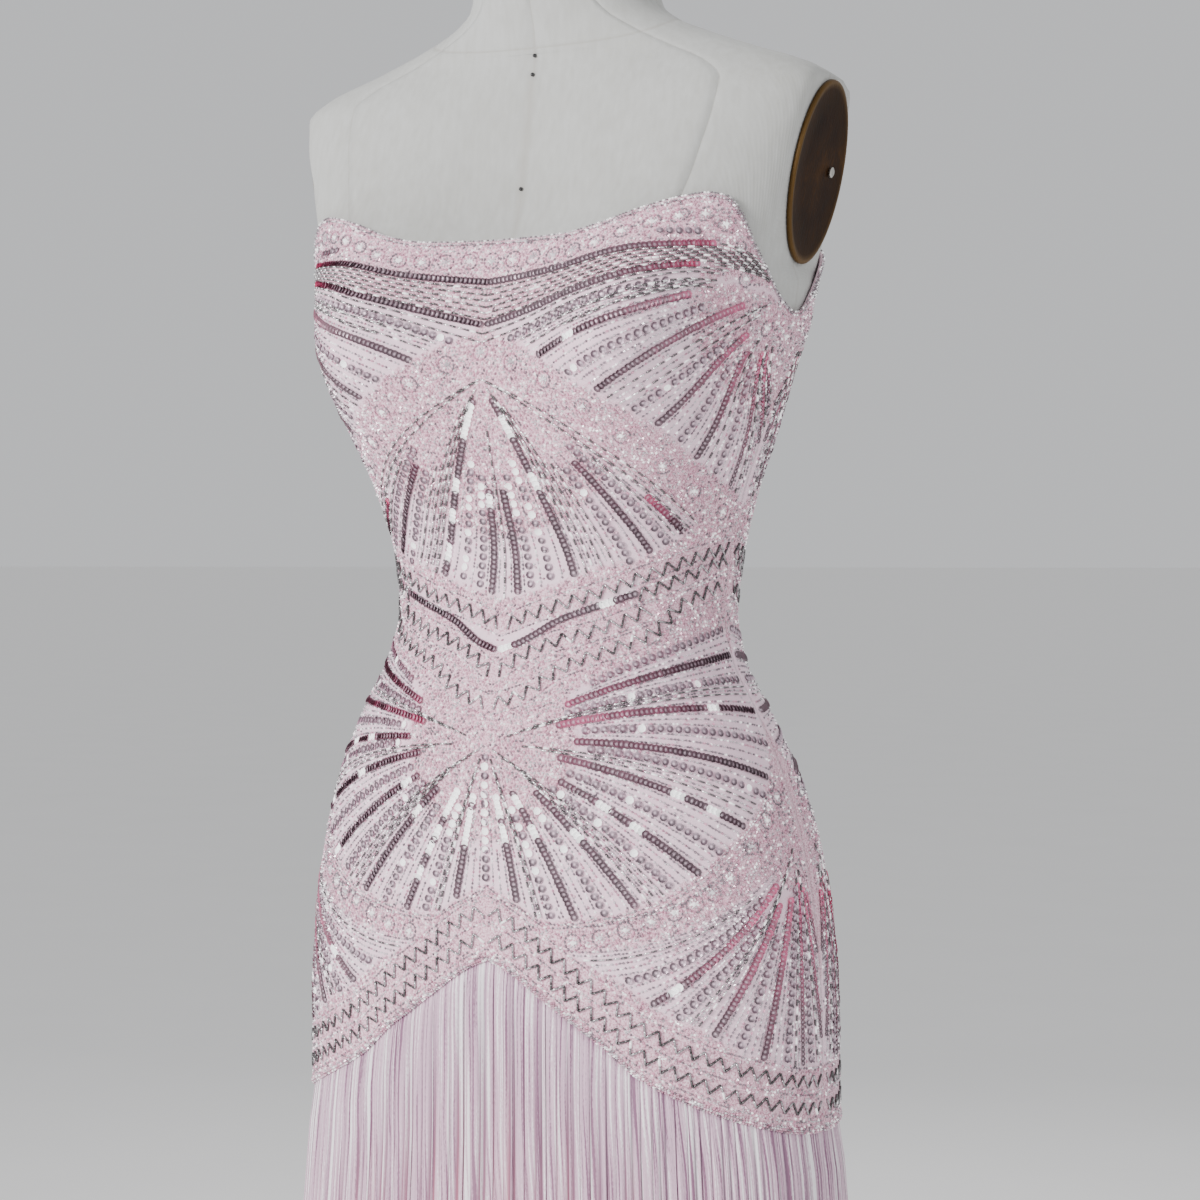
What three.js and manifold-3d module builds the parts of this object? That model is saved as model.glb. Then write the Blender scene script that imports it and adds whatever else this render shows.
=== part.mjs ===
// Strapless beaded evening gown on a limbless dress form with a stand, in millimetres, +Z up.
// The front faces -Y and the wearer's left is +X. The origin is on the floor, at the middle of the stand's base.
import * as THREE from 'three';
import { mergeVertices } from 'three/addons/utils/BufferGeometryUtils.js';
import Module from 'manifold-3d';

// Sections of the dress form: half width, reach of the front and the back, how square the oval is,
// and how far the breastbone lies behind the line from breast to breast
const BODY_SECTIONS = [
  { z: 700, half: 173.5, front: 99.6, back: 118.5, square: 2.25, hollow: 0 },
  { z: 750, half: 170.8, front: 99.6, back: 119.5, square: 2.25, hollow: 0 },
  { z: 810, half: 170.2, front: 100.3, back: 118.0, square: 2.25, hollow: 0 },
  { z: 870, half: 166.4, front: 100.7, back: 114.0, square: 2.25, hollow: 0 },
  { z: 920, half: 157.8, front: 101.0, back: 107.5, square: 2.25, hollow: 0 },
  { z: 960, half: 145.6, front: 102.0, back: 96.0, square: 2.25, hollow: 0 },
  { z: 1000, half: 127.0, front: 99.0, back: 82.0, square: 2.25, hollow: 0 },
  { z: 1030, half: 111.5, front: 89.5, back: 74.5, square: 2.25, hollow: 0 },
  { z: 1060, half: 105.5, front: 79.0, back: 75.5, square: 2.25, hollow: 0 },
  { z: 1090, half: 108.6, front: 77.2, back: 78.5, square: 2.25, hollow: 0 },
  { z: 1130, half: 118.0, front: 87.0, back: 81.5, square: 2.25, hollow: 0 },
  { z: 1170, half: 131.5, front: 98.0, back: 86.4, square: 2.25, hollow: 0 },
  { z: 1205, half: 142.5, front: 104.5, back: 90.0, square: 2.25, hollow: 1 },
  { z: 1240, half: 154.0, front: 96.0, back: 91.5, square: 2.3, hollow: 6 },
  { z: 1270, half: 158.5, front: 91.0, back: 90.5, square: 2.6, hollow: 14 },
  { z: 1300, half: 166.0, front: 83.5, back: 89.0, square: 2.8, hollow: 20 },
  { z: 1330, half: 172.0, front: 75.0, back: 87.0, square: 3.0, hollow: 17.5 },
  { z: 1355, half: 179.0, front: 66.0, back: 83.0, square: 3.0, hollow: 13 },
  { z: 1375, half: 181.0, front: 57.0, back: 78.0, square: 3.0, hollow: 8 },
  { z: 1388, half: 166.0, front: 49.5, back: 73.0, square: 2.8, hollow: 4 },
  { z: 1400, half: 133.0, front: 44.5, back: 67.0, square: 2.6, hollow: 1.5 },
  { z: 1412, half: 101.0, front: 44.5, back: 60.0, square: 2.4, hollow: 0 },
  { z: 1424, half: 74.0, front: 47.5, back: 53.0, square: 2.25, hollow: 0 },
  { z: 1434, half: 62.0, front: 50.5, back: 47.0, square: 2.2, hollow: 0 },
  { z: 1446, half: 59.0, front: 52.0, back: 44.5, square: 2.2, hollow: 0 },
  { z: 1465, half: 58.5, front: 52.5, back: 44.0, square: 2.2, hollow: 0 },
];

// The two rounds of the bust: how far the bodice and the form under it stand forward, where they are
// and how wide they run out
const BUST = { rise: 40, formRise: 38, apart: 96, reachX: 56, z: 1231, reachDown: 66, reachUp: 55 };
const BUST_EDGE = 0.75;
const HOLLOW_REACH = 75;

// Edges of the beaded bodice, by the angle from the centre front
const TOP_EDGE = [
  { angle: 0, z: 1281 },
  { angle: 11, z: 1282 },
  { angle: 19, z: 1287 },
  { angle: 27, z: 1295 },
  { angle: 36, z: 1301.5 },
  { angle: 44, z: 1304 },
  { angle: 50, z: 1302 },
  { angle: 56, z: 1294 },
  { angle: 63, z: 1281 },
  { angle: 72, z: 1263 },
  { angle: 80, z: 1246 },
  { angle: 88, z: 1239 },
  { angle: 92, z: 1242 },
  { angle: 97, z: 1252 },
  { angle: 104, z: 1266 },
  { angle: 112, z: 1277 },
  { angle: 122, z: 1283 },
  { angle: 135, z: 1285 },
  { angle: 180, z: 1285 },
];
const LOWER_EDGE = [
  { angle: 0, z: 854 },
  { angle: 4, z: 847 },
  { angle: 10, z: 833 },
  { angle: 16, z: 820 },
  { angle: 22, z: 808 },
  { angle: 30, z: 790 },
  { angle: 43, z: 774 },
  { angle: 58, z: 762 },
  { angle: 80, z: 752 },
  { angle: 100, z: 749 },
  { angle: 122, z: 757 },
  { angle: 142, z: 775 },
  { angle: 158, z: 800 },
  { angle: 170, z: 830 },
  { angle: 176, z: 846 },
  { angle: 180, z: 853 },
];

// Crests of the pleated skirt, from the seam under the bodice to the hem
const SKIRT_SECTIONS = [
  { z: 15, half: 272, front: 205, back: 228, square: 2.1 },
  { z: 200, half: 244, front: 170, back: 192, square: 2.12 },
  { z: 400, half: 214, front: 136, back: 158, square: 2.16 },
  { z: 550, half: 194, front: 117, back: 137, square: 2.2 },
  { z: 640, half: 184.5, front: 109, back: 129, square: 2.25 },
  { z: 715, half: 178, front: 105.2, back: 124.8, square: 2.25 },
  { z: 750, half: 175.2, front: 104.2, back: 124, square: 2.25 },
  { z: 810, half: 174.2, front: 104.2, back: 122, square: 2.25 },
  { z: 860, half: 171.2, front: 104.7, back: 119, square: 2.25 },
];
const PLEATS_EACH_SIDE = 88;
const SKIRT_ROWS = [
  { z: 15, depth: 9, wall: 2.2, swell: 9 },
  { z: 230, depth: 7.5, wall: 2, swell: 6 },
  { z: 520, depth: 4.6, wall: 1.6, swell: 2 },
  { z: 716, depth: 1.5, wall: 1.2, swell: 0 },
];
const AT_SEAM = { depth: 0.8, wall: 1.1, swell: 0 };
const HIP_Z = 750;

// Each column stands off its even place, and each pleat is deeper or shallower, by two sine waves of the
// column's number. Two more waves round the skirt are its broad folds.
const UNEVEN = { wander: 0.34, deeper: 0.2, first: 2.399, second: 0.731, shift: 1.3, share: 0.6 };
const FOLDS = { first: 7, second: 11, shift: 2 };

// Cloth of the bodice, and the gaps kept where pieces meet
const CLOTH_OFF_FORM = 1.3;
const CLOTH_THICK = 1.4;
const SEAM_GAP = 0.3;
const FRONT_COLUMNS = 28;
const BACK_COLUMNS = 14;
const BODICE_ROWS = 22;

// Dress form and stand
const FORM = { bottom: 722, top: 1465, columns: 40, rim: 4 };
const FORM_ROWS = [
  722, 726, 760, 815, 870, 905, 940, 965, 985, 1005, 1025, 1045, 1065, 1085, 1110, 1140, 1170, 1195, 1215, 1235,
  1255, 1280, 1305, 1330, 1350, 1366, 1378, 1388, 1396, 1404, 1412, 1420, 1428, 1438, 1461, 1465,
];
const PLATE = { x: 165, y: 5, z: 1324, tilt: 12, width: 71, height: 111, thick: 3.2, bevel: 1 };
const STUMP_DROP = 58;
const CUTTER = { side: 240, deep: 80 };
const SCREW = { y: 15, z: 2, radius: 3.2, crown: 2.2, rim: 0.8, head: 1.4 };
const POLE_RADIUS = 16;
const BASE = { radius: 172, thick: 12, chamfer: 2, boss: 34, bossTop: 42, fillet: 14 };

// Slider of the concealed centre back zip, and its pull tab hanging on the slider's bar
const SLIDER = { width: 7, thick: 2.2, height: 11, below: 5, offCloth: 0.6 };
const EAR = { thick: 1.2, reach: 5.4, height: 4, root: 0.5 };
const BAR = { radius: 0.7, inset: 1.2 };
const PULL = { width: 3.8, eye: 1.7, hole: 1.05, thick: 1.2, length: 26, tip: 1.9 };

const degrees = Math.PI / 180;

// Monotone cubic through the rows of a table, so that no section overshoots its neighbours
function smooth(rows, at, key) {
  const x = rows.map((row) => row[at]);
  const y = rows.map((row) => row[key]);
  const slope = x.slice(1).map((next, i) => (y[i + 1] - y[i]) / (next - x[i]));
  const tangent = x.map((_, i) => {
    if (i === 0) return slope[0];
    if (i === x.length - 1) return slope[i - 1];
    if (slope[i - 1] * slope[i] <= 0) return 0;
    const before = x[i] - x[i - 1];
    const after = x[i + 1] - x[i];
    const w1 = 2 * after + before;
    const w2 = after + 2 * before;
    return (w1 + w2) / (w1 / slope[i - 1] + w2 / slope[i]);
  });
  return (value) => {
    const v = THREE.MathUtils.clamp(value, x[0], x[x.length - 1]);
    const i = x.findIndex((end, k) => k > 0 && v <= end) - 1;
    const step = x[i + 1] - x[i];
    const s = (v - x[i]) / step;
    const s2 = s * s;
    const s3 = s2 * s;
    return (
      (2 * s3 - 3 * s2 + 1) * y[i] +
      (s3 - 2 * s2 + s) * step * tangent[i] +
      (3 * s2 - 2 * s3) * y[i + 1] +
      (s3 - s2) * step * tangent[i + 1]
    );
  };
}

function sectionsOf(rows, keys) {
  return Object.fromEntries(keys.map((key) => [key, smooth(rows, 'z', key)]));
}
const body = sectionsOf(BODY_SECTIONS, ['half', 'front', 'back', 'square', 'hollow']);
const skirt = sectionsOf(SKIRT_SECTIONS, ['half', 'front', 'back', 'square']);
const topEdge = smooth(TOP_EDGE, 'angle', 'z');
const lowerEdge = smooth(LOWER_EDGE, 'angle', 'z');

// Distance from the centre front, from 0 to 180, of an angle that may run past the centre back
const fromFront = (angle) => Math.abs(((((angle + 180) % 360) + 360) % 360) - 180);

// Point of a squared oval: the angle runs from the centre front, through the wearer's left, to the centre back
function ovalPoint(sections, angle, z, offset) {
  const power = 2 / sections.square(z);
  const sine = Math.sin(angle * degrees);
  const cosine = Math.cos(angle * degrees);
  const half = sections.half(z) + offset;
  const reach = (cosine > 0 ? sections.front(z) : sections.back(z)) + offset;
  const x = half * Math.sign(sine) * Math.abs(sine) ** power;
  const y = -reach * Math.sign(cosine) * Math.abs(cosine) ** power;
  return [x, y, z];
}

// The form's skin moved out by an offset; only the form itself has the hollow over the breastbone
function bodyPoint(angle, z, offset, hollowed = false) {
  const [x, y] = ovalPoint(body, angle, z, offset);
  const forward = THREE.MathUtils.clamp(-y / (body.front(z) + offset) / BUST_EDGE, 0, 1);
  const weight = forward * forward * (3 - 2 * forward);
  const reachZ = z > BUST.z ? BUST.reachUp : BUST.reachDown;
  const mound = (side) => Math.exp(-(((x - side * BUST.apart) / BUST.reachX) ** 2));
  const height = hollowed ? BUST.formRise : BUST.rise;
  const rise = height * (mound(1) + mound(-1)) * Math.exp(-(((z - BUST.z) / reachZ) ** 2));
  const dent = hollowed ? body.hollow(z) * Math.exp(-((x / HOLLOW_REACH) ** 2)) : 0;
  return [x, y - (rise - dent) * weight, z];
}

// Angles at equal steps along a section's own length
function evenAngles(from, to, count, pointAt) {
  const samples = 720;
  const angles = Array.from({ length: samples + 1 }, (_, i) => from + ((to - from) * i) / samples);
  const lengths = [0];
  for (let i = 1; i <= samples; i++) {
    const [x0, y0] = pointAt(angles[i - 1]);
    const [x1, y1] = pointAt(angles[i]);
    lengths.push(lengths[i - 1] + Math.hypot(x1 - x0, y1 - y0));
  }
  return Array.from({ length: count + 1 }, (_, k) => {
    const target = (lengths[samples] * k) / count;
    const found = lengths.findIndex((length) => length >= target);
    const i = found < 0 ? samples : Math.max(1, found);
    const part = (target - lengths[i - 1]) / (lengths[i] - lengths[i - 1]);
    return angles[i - 1] + (angles[i] - angles[i - 1]) * part;
  });
}

function meshGeometry(positions, faces) {
  const geometry = new THREE.BufferGeometry();
  geometry.setAttribute('position', new THREE.Float32BufferAttribute(positions.flat(), 3));
  geometry.setIndex(faces.flatMap(([a, b, c, d]) => (d === undefined ? [a, b, c] : [a, b, c, a, c, d])));
  return geometry;
}

// A closed wall of cloth: an outer and an inner grid, joined along their four edges
function wall(columns, rows, outside, inside) {
  const positions = [];
  for (const pointAt of [outside, inside])
    for (let row = 0; row <= rows; row++)
      for (let column = 0; column <= columns; column++) positions.push(pointAt(column, row));
  const outer = (column, row) => row * (columns + 1) + column;
  const inner = (column, row) => (columns + 1) * (rows + 1) + outer(column, row);
  const faces = [];
  for (let row = 0; row < rows; row++)
    for (let column = 0; column < columns; column++) {
      const next = column + 1;
      const up = row + 1;
      faces.push([outer(column, row), outer(next, row), outer(next, up), outer(column, up)]);
      faces.push([inner(column, row), inner(column, up), inner(next, up), inner(next, row)]);
    }
  for (let column = 0; column < columns; column++) {
    const next = column + 1;
    faces.push([outer(column, 0), inner(column, 0), inner(next, 0), outer(next, 0)]);
    faces.push([outer(column, rows), outer(next, rows), inner(next, rows), inner(column, rows)]);
  }
  for (let row = 0; row < rows; row++) {
    const up = row + 1;
    faces.push([outer(0, row), outer(0, up), inner(0, up), inner(0, row)]);
    faces.push([outer(columns, row), inner(columns, row), inner(columns, up), outer(columns, up)]);
  }
  return meshGeometry(positions, faces);
}

// A closed solid through rings of equal count, from the lowest up, with a flat cap at each end
function loft(rings) {
  const count = rings[0].length;
  const positions = rings.flat();
  const faces = [];
  for (let ring = 0; ring < rings.length - 1; ring++)
    for (let i = 0; i < count; i++) {
      const next = (i + 1) % count;
      const low = ring * count;
      faces.push([low + i, low + next, low + count + next, low + count + i]);
    }
  const last = (rings.length - 1) * count;
  const low = positions.push([0, 0, rings[0][0][2]]) - 1;
  const high = positions.push([0, 0, rings[rings.length - 1][0][2]]) - 1;
  for (let i = 0; i < count; i++) {
    const next = (i + 1) % count;
    faces.push([low, next, i]);
    faces.push([high, last + i, last + next]);
  }
  return meshGeometry(positions, faces);
}

// Joining and cutting of closed solids
const wasm = await Module();
wasm.setup();
function solidOf(geometry) {
  const plain = geometry.clone();
  plain.deleteAttribute('normal');
  plain.deleteAttribute('uv');
  const merged = mergeVertices(plain, 1e-4);
  const vertProperties = new Float32Array(merged.attributes.position.array);
  const triVerts = new Uint32Array(merged.index.array);
  return new wasm.Manifold(new wasm.Mesh({ numProp: 3, vertProperties, triVerts }));
}
function geometryOf(solid) {
  const { vertProperties, triVerts } = solid.getMesh();
  const geometry = new THREE.BufferGeometry();
  geometry.setAttribute('position', new THREE.BufferAttribute(new Float32Array(vertProperties), 3));
  geometry.setIndex(Array.from(triVerts));
  return geometry;
}

const gown = new THREE.Group();
function add(name, geometry, material) {
  const mesh = new THREE.Mesh(geometry, material);
  mesh.name = name;
  mesh.geometry.computeVertexNormals();
  gown.add(mesh);
  return mesh;
}

const beadedSatin = new THREE.MeshStandardMaterial({ color: 0xd9bcc6, roughness: 0.4, metalness: 0.1 });
const pleatedSatin = new THREE.MeshStandardMaterial({ color: 0xdfcbdc, roughness: 0.35, metalness: 0 });
const linen = new THREE.MeshStandardMaterial({ color: 0xe4e2dc, roughness: 0.9, metalness: 0 });
const bronze = new THREE.MeshStandardMaterial({ color: 0x4a3422, roughness: 0.4, metalness: 0.8 });
const steel = new THREE.MeshStandardMaterial({ color: 0xb9bbbe, roughness: 0.3, metalness: 1 });
const castIron = new THREE.MeshStandardMaterial({ color: 0x2b2a2a, roughness: 0.55, metalness: 0.6 });

// Bodice walls. A column on a seam is moved to its own side of the seam line by half the gap.
const bodiceAngles = (from, to, columns) =>
  evenAngles(from, to, columns, (angle) => bodyPoint(angle, BUST.z, CLOTH_OFF_FORM));
function bodicePiece(from, to, columns, seams) {
  const angles = bodiceAngles(from, to, columns);
  const pointAt = (offset) => (column, row) => {
    const angle = angles[column];
    const away = fromFront(angle);
    const low = lowerEdge(away);
    const z = low + ((topEdge(away) - low) * row) / BODICE_ROWS;
    const point = bodyPoint(angle, z, offset);
    const seam = column === 0 ? seams.first : column === columns ? seams.last : null;
    if (seam) point[seam.axis] = seam.value;
    return point;
  };
  return wall(columns, BODICE_ROWS, pointAt(CLOTH_OFF_FORM + CLOTH_THICK), pointAt(CLOTH_OFF_FORM));
}
const X_AXIS = 0;
const Y_AXIS = 1;
const beforeSide = { axis: Y_AXIS, value: -SEAM_GAP / 2 };
const behindSide = { axis: Y_AXIS, value: SEAM_GAP / 2 };
const leftOfBack = { axis: X_AXIS, value: SEAM_GAP / 2 };
const rightOfBack = { axis: X_AXIS, value: -SEAM_GAP / 2 };
add('gown_front', bodicePiece(-90, 90, FRONT_COLUMNS, { first: beforeSide, last: beforeSide }), beadedSatin);
add('gown_back_left', bodicePiece(90, 180, BACK_COLUMNS, { first: behindSide, last: leftOfBack }), beadedSatin);
add('gown_back_right', bodicePiece(180, 270, BACK_COLUMNS, { first: rightOfBack, last: behindSide }), beadedSatin);

// Height of the bodice's lower edge, which is straight from one of its columns to the next
const edgeAngles = [
  ...bodiceAngles(-90, 90, FRONT_COLUMNS),
  ...bodiceAngles(90, 180, BACK_COLUMNS).slice(1),
  ...bodiceAngles(180, 270, BACK_COLUMNS).slice(1),
];
const edgePoints = edgeAngles.map((angle) => {
  const z = lowerEdge(fromFront(angle));
  return new THREE.Vector3(...bodyPoint(angle, z, CLOTH_OFF_FORM + CLOTH_THICK));
});
function seamHeight(angle) {
  const k = Math.max(1, edgeAngles.findIndex((end) => end >= angle));
  const start = edgePoints[k - 1];
  const along = edgePoints[k].clone().sub(start);
  const [x, y] = bodyPoint(angle, start.z, CLOTH_OFF_FORM + CLOTH_THICK);
  const share = ((x - start.x) * along.x + (y - start.y) * along.y) / (along.x ** 2 + along.y ** 2);
  return start.z + along.z * THREE.MathUtils.clamp(share, 0, 1);
}

// Pleated skirt walls: every second column is a valley, and both wander a little so that no two pleats are alike
const unevenness = (k) =>
  Math.sin(k * UNEVEN.first) * UNEVEN.share + Math.sin(k * UNEVEN.second + UNEVEN.shift) * (1 - UNEVEN.share);
function skirtPiece(from, to, seam) {
  const columns = PLEATS_EACH_SIDE * 2;
  const even = evenAngles(from, to, columns, (angle) => ovalPoint(skirt, angle, HIP_Z, 0));
  const step = (to - from) / columns;
  const pointAt = (wallShare) => (column, row) => {
    const onSeam = column === 0 || column === columns;
    const angle = even[column] + (onSeam ? 0 : UNEVEN.wander * step * unevenness(column));
    const level = SKIRT_ROWS[row] ?? { ...AT_SEAM, z: seamHeight(angle) - SEAM_GAP };
    const deeper = 1 - UNEVEN.deeper * (1 - unevenness(column + PLEATS_EACH_SIDE));
    const valley = column % 2 === 1 ? level.depth * deeper : 0;
    const round = angle * degrees;
    const waves = Math.sin(round * FOLDS.first) + Math.sin(round * FOLDS.second + FOLDS.shift);
    const offset = (level.swell * waves) / 2 - valley - level.wall * wallShare;
    const point = ovalPoint(skirt, angle, level.z, offset);
    if (onSeam) point[Y_AXIS] = seam.value;
    return point;
  };
  return wall(columns, SKIRT_ROWS.length, pointAt(0), pointAt(1));
}
add('skirt_front', skirtPiece(-90, 90, beforeSide), pleatedSatin);
add('skirt_back', skirtPiece(90, 270, behindSide), pleatedSatin);

// Arm plates: the frame of a plate has its third axis pointing out of the shoulder
function plateFrame(side) {
  const tilt = PLATE.tilt * degrees;
  return new THREE.Matrix4()
    .makeBasis(
      new THREE.Vector3(0, side, 0),
      new THREE.Vector3(side * Math.sin(tilt), 0, Math.cos(tilt)),
      new THREE.Vector3(side * Math.cos(tilt), 0, -Math.sin(tilt)),
    )
    .setPosition(side * PLATE.x, PLATE.y, PLATE.z);
}

// The form: lofted rings, then the two shoulder stumps cut flat
function formRing(z) {
  const inset = z <= FORM.bottom || z >= FORM.top ? -FORM.rim : 0;
  const step = 360 / FORM.columns;
  return Array.from({ length: FORM.columns }, (_, i) => bodyPoint(i * step, z, inset, true));
}
let form = solidOf(loft(FORM_ROWS.map(formRing)));
for (const side of [1, -1]) {
  const cutter = new THREE.BoxGeometry(CUTTER.side, CUTTER.side, CUTTER.deep);
  cutter.translate(0, CUTTER.side / 2 - STUMP_DROP, CUTTER.deep / 2);
  cutter.applyMatrix4(plateFrame(side));
  form = form.subtract(solidOf(cutter));
}
add('form_torso', geometryOf(form), linen);

for (const [sideName, side] of [['left', 1], ['right', -1]]) {
  const outline = new THREE.Shape();
  const halfWidth = PLATE.width / 2 - PLATE.bevel;
  const halfHeight = PLATE.height / 2 - PLATE.bevel;
  outline.absellipse(0, 0, halfWidth, halfHeight, 0, 2 * Math.PI, false, 0);
  const plate = new THREE.ExtrudeGeometry(outline, {
    depth: PLATE.thick - 2 * PLATE.bevel,
    bevelThickness: PLATE.bevel,
    bevelSize: PLATE.bevel,
    bevelSegments: 1,
    curveSegments: 20,
  });
  plate.translate(0, 0, SEAM_GAP + PLATE.bevel);
  plate.applyMatrix4(plateFrame(side));
  add(`arm_plate_${sideName}`, plate, bronze);

  const seat = SEAM_GAP + PLATE.thick + SEAM_GAP;
  const profile = [
    [0, seat],
    [SCREW.radius, seat],
    [SCREW.radius, seat + SCREW.rim],
    [SCREW.crown, seat + SCREW.head],
    [0, seat + SCREW.head],
  ].map(([r, h]) => new THREE.Vector2(r, h));
  const screw = new THREE.LatheGeometry(profile, 16);
  screw.rotateX(Math.PI / 2);
  screw.translate(side * SCREW.y, SCREW.z, 0);
  screw.applyMatrix4(plateFrame(side));
  add(`plate_screw_${sideName}`, screw, steel);
}

// Stand: a lathe profile turned about the Z axis
function turned(points, segments) {
  const geometry = new THREE.LatheGeometry(points.map(([r, z]) => new THREE.Vector2(r, z)), segments);
  return geometry.rotateX(Math.PI / 2);
}
const poleFoot = BASE.bossTop + SEAM_GAP;
const poleHead = FORM.bottom - SEAM_GAP;
const pole = [[0, poleFoot], [POLE_RADIUS, poleFoot], [POLE_RADIUS, poleHead], [0, poleHead]];
add('stand_pole', turned(pole, 24), steel);
const base = [
  [0, 0],
  [BASE.radius - BASE.chamfer, 0],
  [BASE.radius, BASE.chamfer],
  [BASE.radius, BASE.thick - BASE.chamfer],
  [BASE.radius - BASE.chamfer, BASE.thick],
  [BASE.boss + BASE.fillet, BASE.thick],
  [BASE.boss, BASE.thick + BASE.fillet],
  [BASE.boss, BASE.bossTop],
  [0, BASE.bossTop],
];
add('stand_base', turned(base, 48), castIron);

// Zip slider: a body with two ears that hold a cross bar, just off the cloth at the centre back
const zipTop = topEdge(180) - SLIDER.below;
const clothAtZip = bodyPoint(180, zipTop - SLIDER.height / 2, CLOTH_OFF_FORM + CLOTH_THICK)[Y_AXIS];
const sliderFace = clothAtZip + SLIDER.offCloth;
const barY = sliderFace + EAR.reach - BAR.inset;
const barZ = zipTop - SLIDER.height / 2;
function boxBetween(low, high) {
  const size = high.map((value, i) => value - low[i]);
  return new THREE.BoxGeometry(...size).translate(...low.map((value, i) => value + size[i] / 2));
}
const halfSlider = SLIDER.width / 2;
let slider = solidOf(
  boxBetween([-halfSlider, sliderFace, zipTop - SLIDER.height], [halfSlider, sliderFace + SLIDER.thick, zipTop]),
);
for (const side of [1, -1]) {
  const x = [side * halfSlider, side * (halfSlider - EAR.thick)].sort((a, b) => a - b);
  const low = [x[0], sliderFace + SLIDER.thick - EAR.root, barZ - EAR.height / 2];
  const high = [x[1], sliderFace + EAR.reach, barZ + EAR.height / 2];
  slider = slider.add(solidOf(boxBetween(low, high)));
}
const bar = new THREE.CylinderGeometry(BAR.radius, BAR.radius, SLIDER.width - EAR.thick, 12);
bar.rotateZ(Math.PI / 2);
bar.translate(0, barY, barZ);
slider = slider.add(solidOf(bar));
add('zip_slider', geometryOf(slider), steel);

// Pull tab: an eye round the bar and a flat tongue, drawn from the side and extruded across the zip
const tab = new THREE.Shape();
const shoulder = Math.asin(PULL.thick / 2 / PULL.eye);
tab.absarc(0, 0, PULL.eye, -Math.PI / 2 + shoulder, 1.5 * Math.PI - shoulder, false);
tab.lineTo(-PULL.thick / 2, -PULL.length + PULL.tip);
tab.lineTo(-PULL.thick / 4, -PULL.length);
tab.lineTo(PULL.thick / 4, -PULL.length);
tab.lineTo(PULL.thick / 2, -PULL.length + PULL.tip);
tab.closePath();
const eye = new THREE.Path();
eye.absarc(0, 0, PULL.hole, 0, 2 * Math.PI, true);
tab.holes.push(eye);
const pull = new THREE.ExtrudeGeometry(tab, { depth: PULL.width, bevelEnabled: false, curveSegments: 12 });
pull.translate(0, 0, -PULL.width / 2);
pull.applyMatrix4(
  new THREE.Matrix4().makeBasis(
    new THREE.Vector3(0, 1, 0),
    new THREE.Vector3(0, 0, 1),
    new THREE.Vector3(1, 0, 0),
  ),
);
add('zip_pull', pull, steel).position.set(0, barY, barZ);

export default gown;
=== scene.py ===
import bpy
import numpy as np
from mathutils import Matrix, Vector


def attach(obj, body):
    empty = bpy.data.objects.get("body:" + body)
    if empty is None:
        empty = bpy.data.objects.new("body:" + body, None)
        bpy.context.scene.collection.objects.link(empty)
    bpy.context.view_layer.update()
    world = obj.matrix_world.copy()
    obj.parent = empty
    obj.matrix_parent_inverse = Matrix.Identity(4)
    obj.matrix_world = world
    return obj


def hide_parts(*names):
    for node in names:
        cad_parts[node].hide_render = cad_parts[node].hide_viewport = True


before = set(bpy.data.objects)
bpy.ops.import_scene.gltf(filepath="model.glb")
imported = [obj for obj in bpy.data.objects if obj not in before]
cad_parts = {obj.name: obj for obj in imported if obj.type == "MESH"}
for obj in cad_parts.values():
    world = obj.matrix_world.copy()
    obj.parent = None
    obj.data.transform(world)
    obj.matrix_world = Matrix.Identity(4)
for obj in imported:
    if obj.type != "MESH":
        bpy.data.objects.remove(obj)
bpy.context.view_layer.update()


# The set: a plain pale floor and soft studio light, and a camera in front of the gown's left side,
# at waist height, 1.7 m from the stand's axis.
CAMERA_AWAY = 1.70
CAMERA_ROUND = np.radians(28.0)
CAMERA_HEIGHT = 1.090
YAW = np.radians(0.676)
PITCH = np.radians(0.803)
camera = bpy.data.objects.new("camera", bpy.data.cameras.new("camera"))
bpy.context.scene.collection.objects.link(camera)
camera.location = (
    CAMERA_AWAY * np.sin(CAMERA_ROUND),
    -CAMERA_AWAY * np.cos(CAMERA_ROUND),
    CAMERA_HEIGHT,
)
heading = CAMERA_ROUND - YAW
looking = Vector((
    -np.sin(heading) * np.cos(PITCH),
    np.cos(heading) * np.cos(PITCH),
    -np.sin(PITCH),
))
camera.rotation_mode = "QUATERNION"
camera.rotation_quaternion = looking.to_track_quat("-Z", "Y")
camera.data.lens = 81.33
camera.data.sensor_width = 36.0
camera.data.clip_end = 2000.0
bpy.context.scene.camera = camera


def paint(red, green, blue):
    """Linear colour of a screen colour: each channel over 255, to the power 2.2."""
    return tuple((channel / 255) ** 2.2 for channel in (red, green, blue))


def add_lamp(name, place, target, size, power, warmth):
    """Square area lamp of a size and power, aimed from its place at a target."""
    lamp = bpy.data.lights.new(name, "AREA")
    lamp.shape = "SQUARE"
    lamp.size = size
    lamp.energy = power
    lamp.color = warmth
    holder = bpy.data.objects.new(name, lamp)
    holder.location = place
    holder.rotation_mode = "QUATERNION"
    aim = Vector(target) - Vector(place)
    holder.rotation_quaternion = aim.to_track_quat("-Z", "Y")
    bpy.context.scene.collection.objects.link(holder)


add_lamp("key_light", (-1.3, -3.0, 2.1), (0, 0, 1.0), 1.1, 143, (1.0, 0.988, 0.988))
add_lamp("side_light", (2.9, -1.1, 1.7), (0, 0, 1.0), 1.4, 19, (0.98, 0.985, 1.0))
add_lamp("back_light", (-0.9, 2.9, 2.4), (0, 0, 1.0), 1.6, 30, (1.0, 1.0, 1.0))
world = bpy.data.worlds.new("studio")
world.use_nodes = True
world.node_tree.nodes["Background"].inputs["Color"].default_value = (0.86, 0.87, 0.89, 1)
world.node_tree.nodes["Background"].inputs["Strength"].default_value = 0.76
bpy.context.scene.world = world


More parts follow.
